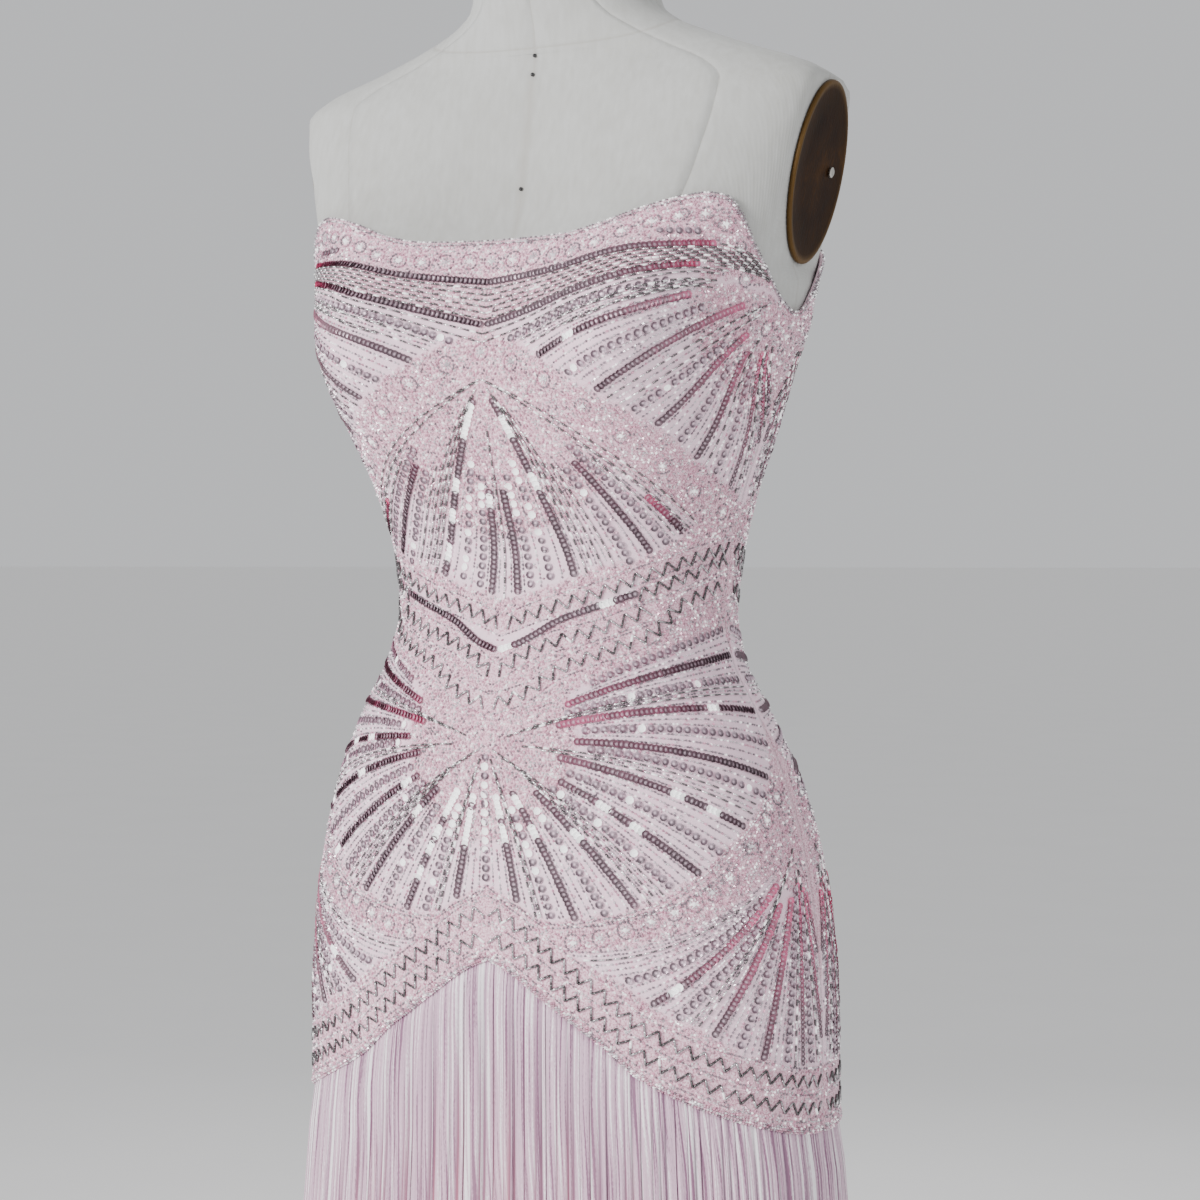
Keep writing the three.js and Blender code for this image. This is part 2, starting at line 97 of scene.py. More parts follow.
class Wire:
    """An output of a shader node. Plus, minus, times, over and power on wires and numbers add Math nodes."""

    def __init__(self, finish, socket):
        self.finish = finish
        self.socket = socket

    def sum_node(self, operation, first, second):
        return self.finish.node("ShaderNodeMath", {"operation": operation}, {0: first, 1: second})

    def __add__(self, other):
        return self.sum_node("ADD", self, other)

    def __radd__(self, other):
        return self.sum_node("ADD", other, self)

    def __sub__(self, other):
        return self.sum_node("SUBTRACT", self, other)

    def __rsub__(self, other):
        return self.sum_node("SUBTRACT", other, self)

    def __mul__(self, other):
        return self.sum_node("MULTIPLY", self, other)

    def __rmul__(self, other):
        return self.sum_node("MULTIPLY", other, self)

    def __truediv__(self, other):
        return self.sum_node("DIVIDE", self, other)

    def __pow__(self, other):
        return self.sum_node("POWER", self, other)


class Finish:
    """One procedural material on a Principled shader, with the numbers of its gloss set on it."""

    def __init__(self, name, **plain):
        self.material = bpy.data.materials.new(name)
        self.material.use_nodes = True
        self.tree = self.material.node_tree
        self.shader = self.tree.nodes["Principled BSDF"]
        for socket, value in plain.items():
            self.shader.inputs[socket.replace("_", " ")].default_value = value

    def node(self, kind, settings, sockets, output=0):
        """Adds a node of a type, sets its settings, and gives each socket a value or a link."""
        made = self.tree.nodes.new(kind)
        for name, value in settings.items():
            if name == "stops":
                for index, (place, colour) in enumerate(value):
                    elements = made.color_ramp.elements
                    stop = elements[index] if index < 2 else elements.new(place)
                    stop.position = place
                    stop.color = (*colour, 1)
            else:
                setattr(made, name, value)
        for name, value in sockets.items():
            if isinstance(value, Wire):
                self.tree.links.new(value.socket, made.inputs[name])
            else:
                made.inputs[name].default_value = value
        return Wire(self, made.outputs[output])

    def here(self):
        """Place on the piece, in metres."""
        return self.node("ShaderNodeTexCoord", {}, {}, "Object")

    def noise(self, size, detail=2.0, place=None, stretch=(1, 1, 1)):
        """Soft random grey, with blotches of a size in metres, drawn out by a stretch along x, y and z."""
        scaled = self.node(
            "ShaderNodeVectorMath", {"operation": "MULTIPLY"}, {0: place or self.here(), 1: stretch}
        )
        return self.node("ShaderNodeTexNoise", {}, {"Vector": scaled, "Scale": 1 / size, "Detail": detail})

    def waves(self, size, direction, place=None):
        """Threads a size apart, across one axis, as a sine from 0 to 1."""
        settings = {"wave_type": "BANDS", "bands_direction": direction, "wave_profile": "SIN"}
        scale = 2 * np.pi / 20 / size
        return self.node("ShaderNodeTexWave", settings, {"Vector": place or self.here(), "Scale": scale}, 1)

    def attribute(self, name, output="Fac"):
        """Value stored on the mesh under a name."""
        return self.node("ShaderNodeAttribute", {"attribute_name": name}, {}, output)

    def mix(self, share, first, second, blend="MIX"):
        """Colour between a first and a second one."""
        ends = [end if isinstance(end, Wire) else (*end, 1) for end in (first, second)]
        settings = {"data_type": "RGBA", "blend_type": blend, "clamp_factor": True}
        return self.node("ShaderNodeMix", settings, {0: share, 6: ends[0], 7: ends[1]}, 2)

    def ramp(self, value, *stops):
        """Colour by a value, through stops of a place and a colour."""
        return self.node("ShaderNodeValToRGB", {"stops": stops}, {0: value})

    def grey_ramp(self, value, low, high):
        """0 below a low value and 1 above a high one, straight between."""
        settings = {"clamp": True}
        return self.node("ShaderNodeMapRange", settings, {0: value, 1: low, 2: high, 3: 0.0, 4: 1.0})

    def dress(self, colour=None, roughness=None, metallic=None, height=None, depth=0.0005, strength=1.0):
        """Links colour, roughness and metal to the shader, and a height through a bump."""
        for name, wire in (("Base Color", colour), ("Roughness", roughness), ("Metallic", metallic)):
            if isinstance(wire, Wire):
                self.tree.links.new(wire.socket, self.shader.inputs[name])
            elif wire is not None:
                self.shader.inputs[name].default_value = wire
        if height is not None:
            bumped = {"Strength": strength, "Distance": depth, "Height": height}
            bump = self.node("ShaderNodeBump", {}, bumped)
            self.tree.links.new(bump.socket, self.shader.inputs["Normal"])
        return self.material


def put_mesh(name, points, quads=(), triangles=(), material=None, values=None, smooth=True):
    """A mesh object from points and arrays of corners; values are kept on its points by name."""
    quads = np.reshape(np.asarray(quads, np.int32), (-1, 4))
    triangles = np.reshape(np.asarray(triangles, np.int32), (-1, 3))
    corners = np.concatenate([quads.ravel(), triangles.ravel()]).astype(np.int32)
    starts = np.concatenate([
        np.arange(len(quads)) * 4,
        len(quads) * 4 + np.arange(len(triangles)) * 3,
    ]).astype(np.int32)
    mesh = bpy.data.meshes.new(name)
    mesh.vertices.add(len(points))
    mesh.vertices.foreach_set("co", np.asarray(points, np.float32).ravel())
    mesh.loops.add(len(corners))
    mesh.loops.foreach_set("vertex_index", corners)
    mesh.polygons.add(len(starts))
    mesh.polygons.foreach_set("loop_start", starts)
    mesh.update(calc_edges=True)
    mesh.polygons.foreach_set("use_smooth", np.full(len(starts), smooth))
    for key, value in (values or {}).items():
        if np.ndim(value) == 2:
            layer = mesh.attributes.new(key, "FLOAT_COLOR", "POINT")
            layer.data.foreach_set("color", np.asarray(value, np.float32).ravel())
        else:
            layer = mesh.attributes.new(key, "FLOAT", "POINT")
            layer.data.foreach_set("value", np.asarray(value, np.float32).ravel())
    if material:
        mesh.materials.append(material)
    made = bpy.data.objects.new(name, mesh)
    bpy.context.scene.collection.objects.link(made)
    return made


def grid_faces(columns, rows, closed=False, first=0):
    """Quads of a grid of columns by rows of steps; a closed grid joins its last column to its first."""
    wide = columns if closed else columns + 1
    column, row = np.meshgrid(np.arange(columns), np.arange(rows), indexing="ij")
    beside = (column + 1) % wide
    quads = np.stack([
        row * wide + column,
        row * wide + beside,
        (row + 1) * wide + beside,
        (row + 1) * wide + column,
    ], axis=-1)
    return quads.reshape(-1, 4) + first


floor_finish = Finish("pale_floor")
floor_tone = floor_finish.noise(0.35, 4.0)
floor_finish.dress(
    colour=floor_finish.mix(floor_tone, paint(242, 241, 240), paint(247, 246, 245)),
    roughness=0.62 + 0.12 * floor_finish.noise(0.05),
)
FLOOR_REACH = 500.0
floor_points = np.array([
    (-FLOOR_REACH, -FLOOR_REACH, -0.0005),
    (FLOOR_REACH, -FLOOR_REACH, -0.0005),
    (FLOOR_REACH, FLOOR_REACH, -0.0005),
    (-FLOOR_REACH, FLOOR_REACH, -0.0005),
])
put_mesh("floor", floor_points, quads=[(0, 1, 2, 3)], material=floor_finish.material)


# The dress form's torso: a papier-mache shell under fine off-white linen, cut in panels that are sewn
# along the centre front, the princess lines, the sides and the foot of the neck, and pulled tight.
BODY_SECTIONS = np.array([
    # height, half width, reach of the front and of the back, squareness, hollow over the breastbone
    (700, 173.5, 99.6, 118.5, 2.25, 0),
    (750, 170.8, 99.6, 119.5, 2.25, 0),
    (810, 170.2, 100.3, 118, 2.25, 0),
    (870, 166.4, 100.7, 114, 2.25, 0),
    (920, 157.8, 101, 107.5, 2.25, 0),
    (960, 145.6, 102, 96, 2.25, 0),
    (1000, 127, 99, 82, 2.25, 0),
    (1030, 111.5, 89.5, 74.5, 2.25, 0),
    (1060, 105.5, 79, 75.5, 2.25, 0),
    (1090, 108.6, 77.2, 78.5, 2.25, 0),
    (1130, 118, 87, 81.5, 2.25, 0),
    (1170, 131.5, 98, 86.4, 2.25, 0),
    (1205, 142.5, 104.5, 90, 2.25, 1),
    (1240, 154, 96, 91.5, 2.3, 6),
    (1270, 158.5, 91, 90.5, 2.6, 14),
    (1300, 166, 83.5, 89, 2.8, 20),
    (1330, 172, 75, 87, 3, 17.5),
    (1355, 179, 66, 83, 3, 13),
    (1375, 181, 57, 78, 3, 8),
    (1388, 166, 49.5, 73, 2.8, 4),
    (1400, 133, 44.5, 67, 2.6, 1.5),
    (1412, 101, 44.5, 60, 2.4, 0),
    (1424, 74, 47.5, 53, 2.25, 0),
    (1434, 62, 50.5, 47, 2.2, 0),
    (1446, 59, 52, 44.5, 2.2, 0),
    (1465, 58.5, 52.5, 44, 2.2, 0),
])
BUST = {"rise": 40, "form_rise": 38, "apart": 96, "reach_x": 56, "z": 1231, "down": 66, "up": 55}
BUST_EDGE = 0.75
HOLLOW_REACH = 75


def smooth(places, values, at):
    """Monotone cubic through points: a Hermite cubic on each step, whose slopes at the points are the
    weighted harmonic means of the straight slopes on both sides, and 0 where the line turns."""
    places = np.asarray(places, float)
    values = np.asarray(values, float)
    step = np.diff(places)
    slope = np.diff(values) / step
    before = 2 * step[1:] + step[:-1]
    after = step[1:] + 2 * step[:-1]
    turns = slope[:-1] * slope[1:] <= 0
    left = np.where(turns, 1, slope[:-1])
    right = np.where(turns, 1, slope[1:])
    inner = np.where(turns, 0, (before + after) / (before / left + after / right))
    tangent = np.concatenate([slope[:1], inner, slope[-1:]])
    at = np.clip(at, places[0], places[-1])
    k = np.clip(np.searchsorted(places, at) - 1, 0, len(step) - 1)
    s = (at - places[k]) / step[k]
    return (
        (2 * s**3 - 3 * s**2 + 1) * values[k]
        + (s**3 - 2 * s**2 + s) * step[k] * tangent[k]
        + (3 * s**2 - 2 * s**3) * values[k + 1]
        + (s**3 - s**2) * step[k] * tangent[k + 1]
    )


def oval_point(sections, angle, z, offset):
    """Squared oval at a height: x and y are the reach times the sine and cosine of the angle from the
    centre front, each to the power 2 over the squareness. Millimetres."""
    half, front, back, square = (smooth(sections[:, 0], sections[:, k], z) for k in (1, 2, 3, 4))
    sine, cosine = np.sin(np.radians(angle)), np.cos(np.radians(angle))
    reach = np.where(cosine > 0, front, back) + offset
    x = (half + offset) * np.sign(sine) * np.abs(sine) ** (2 / square)
    y = -reach * np.sign(cosine) * np.abs(cosine) ** (2 / square)
    return x, y


def on_body(angle, z, offset, hollowed=False):
    """Body surface moved out by an offset in millimetres, with two bell-shaped rounds for the bust and,
    on the form alone, the hollow between them. The points are in metres."""
    angle, z, offset = np.broadcast_arrays(*(np.asarray(a, float) for a in (angle, z, offset)))
    x, y = oval_point(BODY_SECTIONS, angle, z, offset)
    front = smooth(BODY_SECTIONS[:, 0], BODY_SECTIONS[:, 2], z) + offset
    forward = np.clip(-y / front / BUST_EDGE, 0, 1)
    weight = forward**2 * (3 - 2 * forward)
    reach_z = np.where(z > BUST["z"], BUST["up"], BUST["down"])
    mounds = sum(np.exp(-(((x - side * BUST["apart"]) / BUST["reach_x"]) ** 2)) for side in (1, -1))
    height = BUST["form_rise"] if hollowed else BUST["rise"]
    rise = height * mounds * np.exp(-(((z - BUST["z"]) / reach_z) ** 2))
    if hollowed:
        hollow = smooth(BODY_SECTIONS[:, 0], BODY_SECTIONS[:, 5], z)
        rise = rise - hollow * np.exp(-((x / HOLLOW_REACH) ** 2))
    return np.stack([x, y - rise * weight, z], axis=-1) / 1000


FORM_FOOT, FORM_HEAD, FORM_RIM = 722, 1465, 4
FORM_SEAMS = (0, 36, 90, 146, 180, 214, 270, 324)
SEAM_HALF_WIDTH = 0.30
SEAM_DEPTH = 0.55
NECK_SEAM_Z = 1424
seam_columns = np.concatenate([np.array(FORM_SEAMS) + part * SEAM_HALF_WIDTH for part in (-1, 0, 1)])
plain_columns = np.arange(0, 360, 4.0)
apart = np.abs((plain_columns[:, None] - np.array(FORM_SEAMS)[None] + 180) % 360 - 180).min(1)
form_angles = np.sort(np.concatenate([plain_columns[apart > 3 * SEAM_HALF_WIDTH], seam_columns % 360]))
form_rows = np.unique(np.concatenate([
    np.linspace(FORM_FOOT + FORM_RIM, 1180, 30),
    np.linspace(1180, 1402, 52),
    np.linspace(1402, FORM_HEAD - FORM_RIM, 26),
    [NECK_SEAM_Z - 0.9, NECK_SEAM_Z, NECK_SEAM_Z + 0.9],
]))
angle_grid, z_grid = np.meshgrid(form_angles, form_rows)
to_seam = np.abs((angle_grid[..., None] - np.array(FORM_SEAMS) + 180) % 360 - 180).min(-1)
seam_dip = SEAM_DEPTH * np.clip(1 - to_seam / SEAM_HALF_WIDTH, 0, 1)
seam_dip = np.maximum(seam_dip, SEAM_DEPTH * np.clip(1 - np.abs(z_grid - NECK_SEAM_Z) / 0.9, 0, 1))
# the neck seam dips towards the centre front, and the rows near it with it
front_share = (1 + np.cos(np.radians(angle_grid))) / 2
lowered = z_grid - 20 * front_share**3 * np.exp(-(((z_grid - NECK_SEAM_Z) / 16) ** 2))
torso = on_body(angle_grid, lowered, -seam_dip, hollowed=True)

# Each shoulder stump is cut flat where its arm plate sits: what stands past the plate's plane moves back
# onto it, above the foot of the cut
PLATE = {"x": 165, "y": 5, "z": 1324, "tilt": np.radians(12), "width": 71, "height": 111, "thick": 3.2}
STUMP_DROP = 58


def plate_axes(side):
    """Middle, across, up and outward directions of an arm plate; side is 1 for the wearer's left."""
    middle = np.array([side * PLATE["x"], PLATE["y"], PLATE["z"]]) / 1000
    across = np.array([0, side, 0])
    up = np.array([side * np.sin(PLATE["tilt"]), 0, np.cos(PLATE["tilt"])])
    outward = np.array([side * np.cos(PLATE["tilt"]), 0, -np.sin(PLATE["tilt"])])
    return middle, across, up, outward


for side in (1, -1):
    middle, across, up, outward = plate_axes(side)
    past = (torso - middle) @ outward
    height = (torso - middle) @ up * 1000
    share = np.clip((height + STUMP_DROP + 7) / 7, 0, 1)
    share = share * share * (3 - 2 * share)
    torso = torso - (np.clip(past, 0, None) * share)[..., None] * outward

rim_low = on_body(form_angles, FORM_FOOT, -FORM_RIM, hollowed=True)[None]
rim_high = on_body(form_angles, FORM_HEAD, -FORM_RIM, hollowed=True)[None]
torso = np.concatenate([rim_low, torso, rim_high])
form_wide = len(form_angles)
poles = np.array([(0, 0, FORM_FOOT / 1000), (0, 0, FORM_HEAD / 1000)])
form_points = np.concatenate([torso.reshape(-1, 3), poles])
form_quads = grid_faces(form_wide, len(torso) - 1, closed=True)
ring = np.arange(form_wide)
last_ring = (len(torso) - 1) * form_wide
foot_pole = len(form_points) - 2
ahead = (ring + 1) % form_wide
form_triangles = np.concatenate([
    np.stack([np.full(form_wide, foot_pole), ahead, ring], axis=-1),
    np.stack([np.full(form_wide, foot_pole + 1), last_ring + ring, last_ring + ahead], axis=-1),
])
seam_value = np.zeros(len(form_points))
seam_value[form_wide:form_wide * (len(torso) - 1)] = (seam_dip / SEAM_DEPTH).ravel()

linen = Finish("form_linen", Sheen_Weight=0.15, Sheen_Roughness=0.6)
thread_up = linen.waves(0.00062, "Z")
thread_across = linen.waves(0.00062, "X")
slub = linen.noise(0.004, 3.0, stretch=(1, 1, 0.22))
soiling = linen.noise(0.09, 4.0)
linen_tone = linen.ramp(
    0.55 * soiling + 0.45 * slub, (0.32, paint(177, 177, 172)), (0.68, paint(195, 196, 193))
)
seam_shade = linen.attribute("seam")
linen.dress(
    colour=linen.mix(0.45 * seam_shade, linen_tone, paint(168, 163, 154)),
    roughness=0.86 + 0.1 * slub,
    height=0.5 * thread_up + 0.5 * thread_across + 0.8 * slub,
    depth=0.00018,
)
form_torso = put_mesh(
    "dress_form_torso", form_points, form_quads, form_triangles, linen.material, {"seam": seam_value}
)
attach(form_torso, "gown_on_form")
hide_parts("form_torso")


# Three dressmaker's pins with small black glass heads, pushed into the centre front seam of the form.
PIN_HEIGHTS = (1399.5, 1387.5, 1316)
PIN_RADIUS = 1.25
PIN_STANDS = 0.5
pin_places = np.stack([on_body(0.0, height, PIN_STANDS, hollowed=True) for height in PIN_HEIGHTS])


def ball(centre, radius, columns=14, rows=8):
    """Ball of rings from pole to pole: radius times the sine and cosine of the angle down from the top."""
    down = np.pi * np.arange(1, rows) / rows
    around = 2 * np.pi * np.arange(columns) / columns
    down, around = np.meshgrid(down[::-1], around, indexing="ij")
    shell = np.stack([np.sin(down) * np.cos(around), np.sin(down) * np.sin(around), np.cos(down)], -1)
    points = np.concatenate([shell.reshape(-1, 3), [(0, 0, -1), (0, 0, 1)]]) * radius + centre
    ring = np.arange(columns)
    top = (rows - 2) * columns
    low_pole = (rows - 1) * columns
    fans = np.concatenate([
        np.stack([np.full(columns, low_pole), (ring + 1) % columns, ring], -1),
        np.stack([np.full(columns, low_pole + 1), top + ring, top + (ring + 1) % columns], -1),
    ])
    return points, grid_faces(columns, rows - 2, closed=True), fans


pin_parts = [ball(place, PIN_RADIUS / 1000) for place in pin_places]
pin_count = len(pin_parts[0][0])
pin_finish = Finish("black_glass", Coat_Weight=0.6)
pin_finish.dress(
    colour=pin_finish.mix(pin_finish.noise(0.0006), paint(18, 18, 20), paint(38, 36, 38)),
    roughness=0.2 + 0.2 * pin_finish.noise(0.0004),
)
pins = put_mesh(
    "seam_pins",
    np.concatenate([part[0] for part in pin_parts]),
    np.concatenate([part[1] + k * pin_count for k, part in enumerate(pin_parts)]),
    np.concatenate([part[2] + k * pin_count for k, part in enumerate(pin_parts)]),
    pin_finish.material,
)
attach(pins, "gown_on_form")


# Arm plates: oval plates of dark patinated bronze with a paler rim, worn and with a painted highlight,
# screwed flat onto the stumps.
PLATE_GAP = 0.3
PLATE_PROFILE = np.array([
    # share of the outline, height over the plate's back, rim wear and painted highlight
    (0.0, 0.0, 0), (0.97, 0.0, 0), (1.0, 0.5, 0.6), (1.0, 2.4, 0.9), (0.988, 3.0, 1.0),
    (0.965, 3.2, 1.0), (0.94, 3.05, 0.5), (0.90, 2.75, 0.1), (0.6, 2.6, 0), (0.3, 2.55, 0), (0.0, 2.55, 0),
])
PLATE_COLUMNS = 96
bronze = Finish("bronze_plate", Specular_IOR_Level=0.12)
grain = bronze.noise(0.0012, 3.0, stretch=(1, 1, 0.06))
patina = bronze.noise(0.03, 4.0)
rim_wear_and_highlight = bronze.attribute("rim_wear_and_highlight")
bronze_tone = bronze.ramp(
    0.6 * patina + 0.4 * grain,
    (0.30, paint(22, 12, 3)),
    (0.55, paint(46, 28, 10)),
    (0.75, paint(76, 50, 20)),
)
# The rim is paled and smoothed: partly wear, partly a painted highlight.
bronze.dress(
    colour=bronze.mix(0.4 * rim_wear_and_highlight, bronze_tone, paint(132, 102, 60)),
    roughness=0.50 - 0.2 * rim_wear_and_highlight + 0.14 * grain,
    metallic=0.2,
    height=grain,
    depth=0.00015,
)
around = 2 * np.pi * np.arange(PLATE_COLUMNS) / PLATE_COLUMNS
for name, side in (("left", 1), ("right", -1)):
    middle, across, up, outward = plate_axes(side)
    rings = PLATE_PROFILE[1:-1]
    half_wide, half_high = PLATE["width"] / 2, PLATE["height"] / 2
    turn = around * side
    lateral = rings[:, :1] * half_wide * np.cos(turn)
    vertical = rings[:, :1] * half_high * np.sin(turn)
    standing = np.broadcast_to(rings[:, 1:2] + PLATE_GAP, lateral.shape)
    face = middle + (
        lateral[..., None] * across * side + vertical[..., None] * up + standing[..., None] * outward
    ) / 1000
    ends = middle + np.array([PLATE_GAP, PLATE_PROFILE[-1, 1] + PLATE_GAP])[:, None] * outward / 1000
    points = np.concatenate([face.reshape(-1, 3), ends])
    count = len(rings) * PLATE_COLUMNS
    ring = np.arange(PLATE_COLUMNS)
    top = (len(rings) - 1) * PLATE_COLUMNS
    fans = np.concatenate([
        np.stack([np.full(PLATE_COLUMNS, count), (ring + 1) % PLATE_COLUMNS, ring], -1),
        np.stack([np.full(PLATE_COLUMNS, count + 1), top + ring, top + (ring + 1) % PLATE_COLUMNS], -1),
    ])
    rim_paling = np.concatenate([np.repeat(rings[:, 2], PLATE_COLUMNS), [0, 0]])
    plate = put_mesh(
        f"bronze_arm_plate_{name}",
        points,
        grid_faces(PLATE_COLUMNS, len(rings) - 1, closed=True),
        fans,
        bronze.material,
        {"rim_wear_and_highlight": rim_paling},
    )
    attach(plate, "gown_on_form")
    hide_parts(f"arm_plate_{name}")


# The plates' screws, the pole, the slider and the pull are bright steel and stay the frame's own solids.
def metal_finish(name, dark, light, roughness, brushed, metallic=1.0):
    """Brushed metal: two tones by a noise drawn out along one direction, and the same noise as a bump."""
    made = Finish(name)
    streak = made.noise(0.0015, 3.0, stretch=brushed)
    smudge = made.noise(0.02, 3.0)
    made.dress(
        colour=made.mix(0.6 * streak + 0.4 * smudge, paint(*dark), paint(*light)),
        roughness=roughness + 0.16 * streak,
        metallic=metallic,
        height=streak,
        depth=0.00012,
    )
    return made.material


def clothe_node(name, material):
    """Gives a carried-over solid of the frame its material."""
    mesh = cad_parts[name].data
    mesh.materials.clear()
    mesh.materials.append(material)


screw_steel = metal_finish("screw_steel", (150, 146, 138), (222, 220, 214), 0.22, (1, 1, 1))
clothe_node("plate_screw_left", screw_steel)
clothe_node("plate_screw_right", screw_steel)


# The bodice cloth: three panels of pale lilac-pink satin on a firm lining, drawn tight over the form,
# seamed at the sides and open at the centre back for the zip.
CLOTH_OFF_FORM = 1.3
CLOTH_OUT = 2.7
TOP_EDGE = np.array([
    (0, 1281), (11, 1282), (19, 1287), (27, 1295), (36, 1301.5), (44, 1304), (50, 1302), (56, 1294),
    (63, 1281), (72, 1263), (80, 1246), (88, 1239), (92, 1242), (97, 1252), (104, 1266), (112, 1277),
    (122, 1283), (135, 1285), (180, 1285),
], float)
LOWER_EDGE = np.array([
    (0, 854), (4, 847), (10, 833), (16, 820), (22, 808), (30, 790), (43, 774), (58, 762), (80, 752),
    (100, 749), (122, 757), (142, 775), (158, 800), (170, 830), (176, 846), (180, 853),
], float)
SEAM_GAP_ANGLE = 0.08


def from_front(angle):
    """Distance of an angle from the centre front, from 0 to 180."""
    return np.abs((np.asarray(angle, float) + 180) % 360 - 180)


def top_edge(angle):
    """Height of the bodice's upper edge at an angle."""
    return smooth(TOP_EDGE[:, 0], TOP_EDGE[:, 1], from_front(angle))


def lower_edge(angle):
    """Height of the bodice's lower edge at an angle."""
    return smooth(LOWER_EDGE[:, 0], LOWER_EDGE[:, 1], from_front(angle))


# Cloth lengths round the body at every level, in a quarter from its centre line to the side seam
LEVELS = np.arange(735, 1316, 5.0)
SHARES = np.linspace(0, 1, 121)
QUARTER_SPAN = 90.0
QUARTER_STARTS = {"front": 0.0, "back": 180.0}


def length_tables(first, last):
    """For every level: the angles at equal steps of length from a quarter's centre line to its side,
    the share of the length at equal steps of angle, and the whole length in millimetres."""
    angles = np.linspace(first, last, 361)
    line = on_body(angles[None, :], LEVELS[:, None], CLOTH_OUT) * 1000
    along = np.cumsum(np.linalg.norm(np.diff(line, axis=1), axis=2), axis=1)
    along = np.concatenate([np.zeros((len(LEVELS), 1)), along], axis=1)
    angle_table = np.stack([np.interp(SHARES, row / row[-1], angles) for row in along])
    return angle_table, along / along[:, -1:], along[:, -1]


QUARTERS = {name: length_tables(start, QUARTER_SPAN) for name, start in QUARTER_STARTS.items()}


def quarter_length(quarter, z):
    """Length of the cloth from the centre line to the side seam."""
    return np.interp(z, LEVELS, QUARTERS[quarter][2])


def between_cells(table, z, column_share):
    """Value of a table at a height and at a share of its columns, straight between its steps."""
    row = np.clip((np.asarray(z, float) - LEVELS[0]) / (LEVELS[1] - LEVELS[0]), 0, len(LEVELS) - 1.001)
    column = np.clip(np.asarray(column_share, float), 0, 0.99999) * (table.shape[1] - 1)
    r, c = row.astype(int), column.astype(int)
    up, over = row - r, column - c
    low = table[r, c] * (1 - over) + table[r, c + 1] * over
    high = table[r + 1, c] * (1 - over) + table[r + 1, c + 1] * over
    return low * (1 - up) + high * up


def angle_at(quarter, share, z):
    """Angle at a share of the way from a quarter's centre line to the side seam."""
    return between_cells(QUARTERS[quarter][0], z, share)


def share_at(quarter, angle, z):
    """Share of the way from a quarter's centre line to the side seam at an angle."""
    turned = np.abs(from_front(angle) - QUARTER_STARTS[quarter]) / QUARTER_SPAN
    return between_cells(QUARTERS[quarter][1], z, turned)


def inside(shape, s, z):
    """True where a point lies in a closed outline, by the count of edges crossed on the way out."""
    shape = np.asarray(shape, float)
    crossed = np.zeros(np.shape(s), bool)
    for (s0, z0), (s1, z1) in zip(shape, np.roll(shape, -1, axis=0)):
        if z0 == z1:
            continue
        crosses = (z0 > z) != (z1 > z)
        crossed ^= crosses & (s < (s1 - s0) * (z - z0) / (z1 - z0) + s0)
    return crossed


# Lines of the beaded design, as cloth length from the centre front and height, in millimetres
LINE_A = [(0, 1256), (55, 1262), (105, 1272), (149, 1274), (185, 1267), (219, 1261)]
LINE_B = [(0, 1230), (38, 1239), (81, 1250), (110, 1258), (145, 1262), (185, 1258), (219, 1249)]
BUST_FOCUS = (222, 1248)
CENTRE_FOCUS = (0, 1198)
HIP_FOCUS = (0, 981)
SIDE_FOCUS = (200, 923)
BUST_EDGE_LINE = [
    (4, 1227), (20, 1221), (44, 1210), (64, 1197), (86, 1183), (106, 1169), (128, 1151), (154, 1135),
    (169, 1124), (186, 1104),
]
BARE_LINE = [(118, 1251), (170, 1255), (219, 1248), (219, 1245), (170, 1251), (118, 1248)]
ZIGZAGS = [
    [(0, 1052), (24, 1061), (54, 1070), (88, 1082), (127, 1094), (172, 1102)],
    [(80, 1069), (113, 1081), (145, 1091), (164, 1095)],
    [(0, 1023), (27, 1040), (61, 1050), (94, 1063)],
    [(0, 1005), (24, 1013), (42, 1027), (66, 1037), (97, 1050), (107, 1062), (128, 1071), (165, 1080)],
]
CRESCENT = [(0, 1037), (14, 1042), (36, 1055), (69, 1067), (84, 1072)]

# Rows of each fan from its first edge to its last: kind of bead, end of the row as cloth length and
# height, tone from 0 plum to 1 rose, and the length left bare next to the fan's focus
BUST_ROWS = [
    ("sparse", 20, 1221, 0.0, 92), ("bugle", 27, 1219, 0, 74), ("bugle", 34, 1216, 0, 66),
    ("dense", 44, 1210, 0.35, 80), ("seeds", 54, 1204, 0, 74), ("sparse", 63, 1198, 0.1, 70),
    ("seeds", 71, 1194, 0, 60), ("dense", 80, 1189, 0.55, 42), ("bugle", 86, 1185, 0, 18),
    ("bugle", 90, 1181, 0, 30), ("sparse", 95, 1177, 0.1, 62), ("seeds", 100, 1173, 0, 56),
    ("dense", 107, 1169, 0.65, 46), ("seeds", 112, 1164, 0, 56), ("sparse", 118, 1159, 0.3, 68),
    ("seeds", 123, 1155, 0, 50), ("dense", 129, 1151, 0.6, 52), ("bugle", 135, 1147, 0, 40),
    ("sparse", 142, 1143, 0.6, 50), ("seeds", 148, 1139, 0, 44), ("fine", 154, 1135, 0.8, 40),
    ("bugle", 159, 1131, 0, 34), ("seeds", 164, 1128, 0, 40), ("fine", 169, 1124, 0.9, 36),
    ("bugle", 174, 1118, 0, 40), ("sparse", 179, 1112, 0.6, 50), ("fine", 184, 1106, 0.8, 40),
    ("bugle", 189, 1100, 0, 30),
]
BUST_RISES = [(20, 34), (80, 15), (92, -8), (128, -8), (186, -46)]
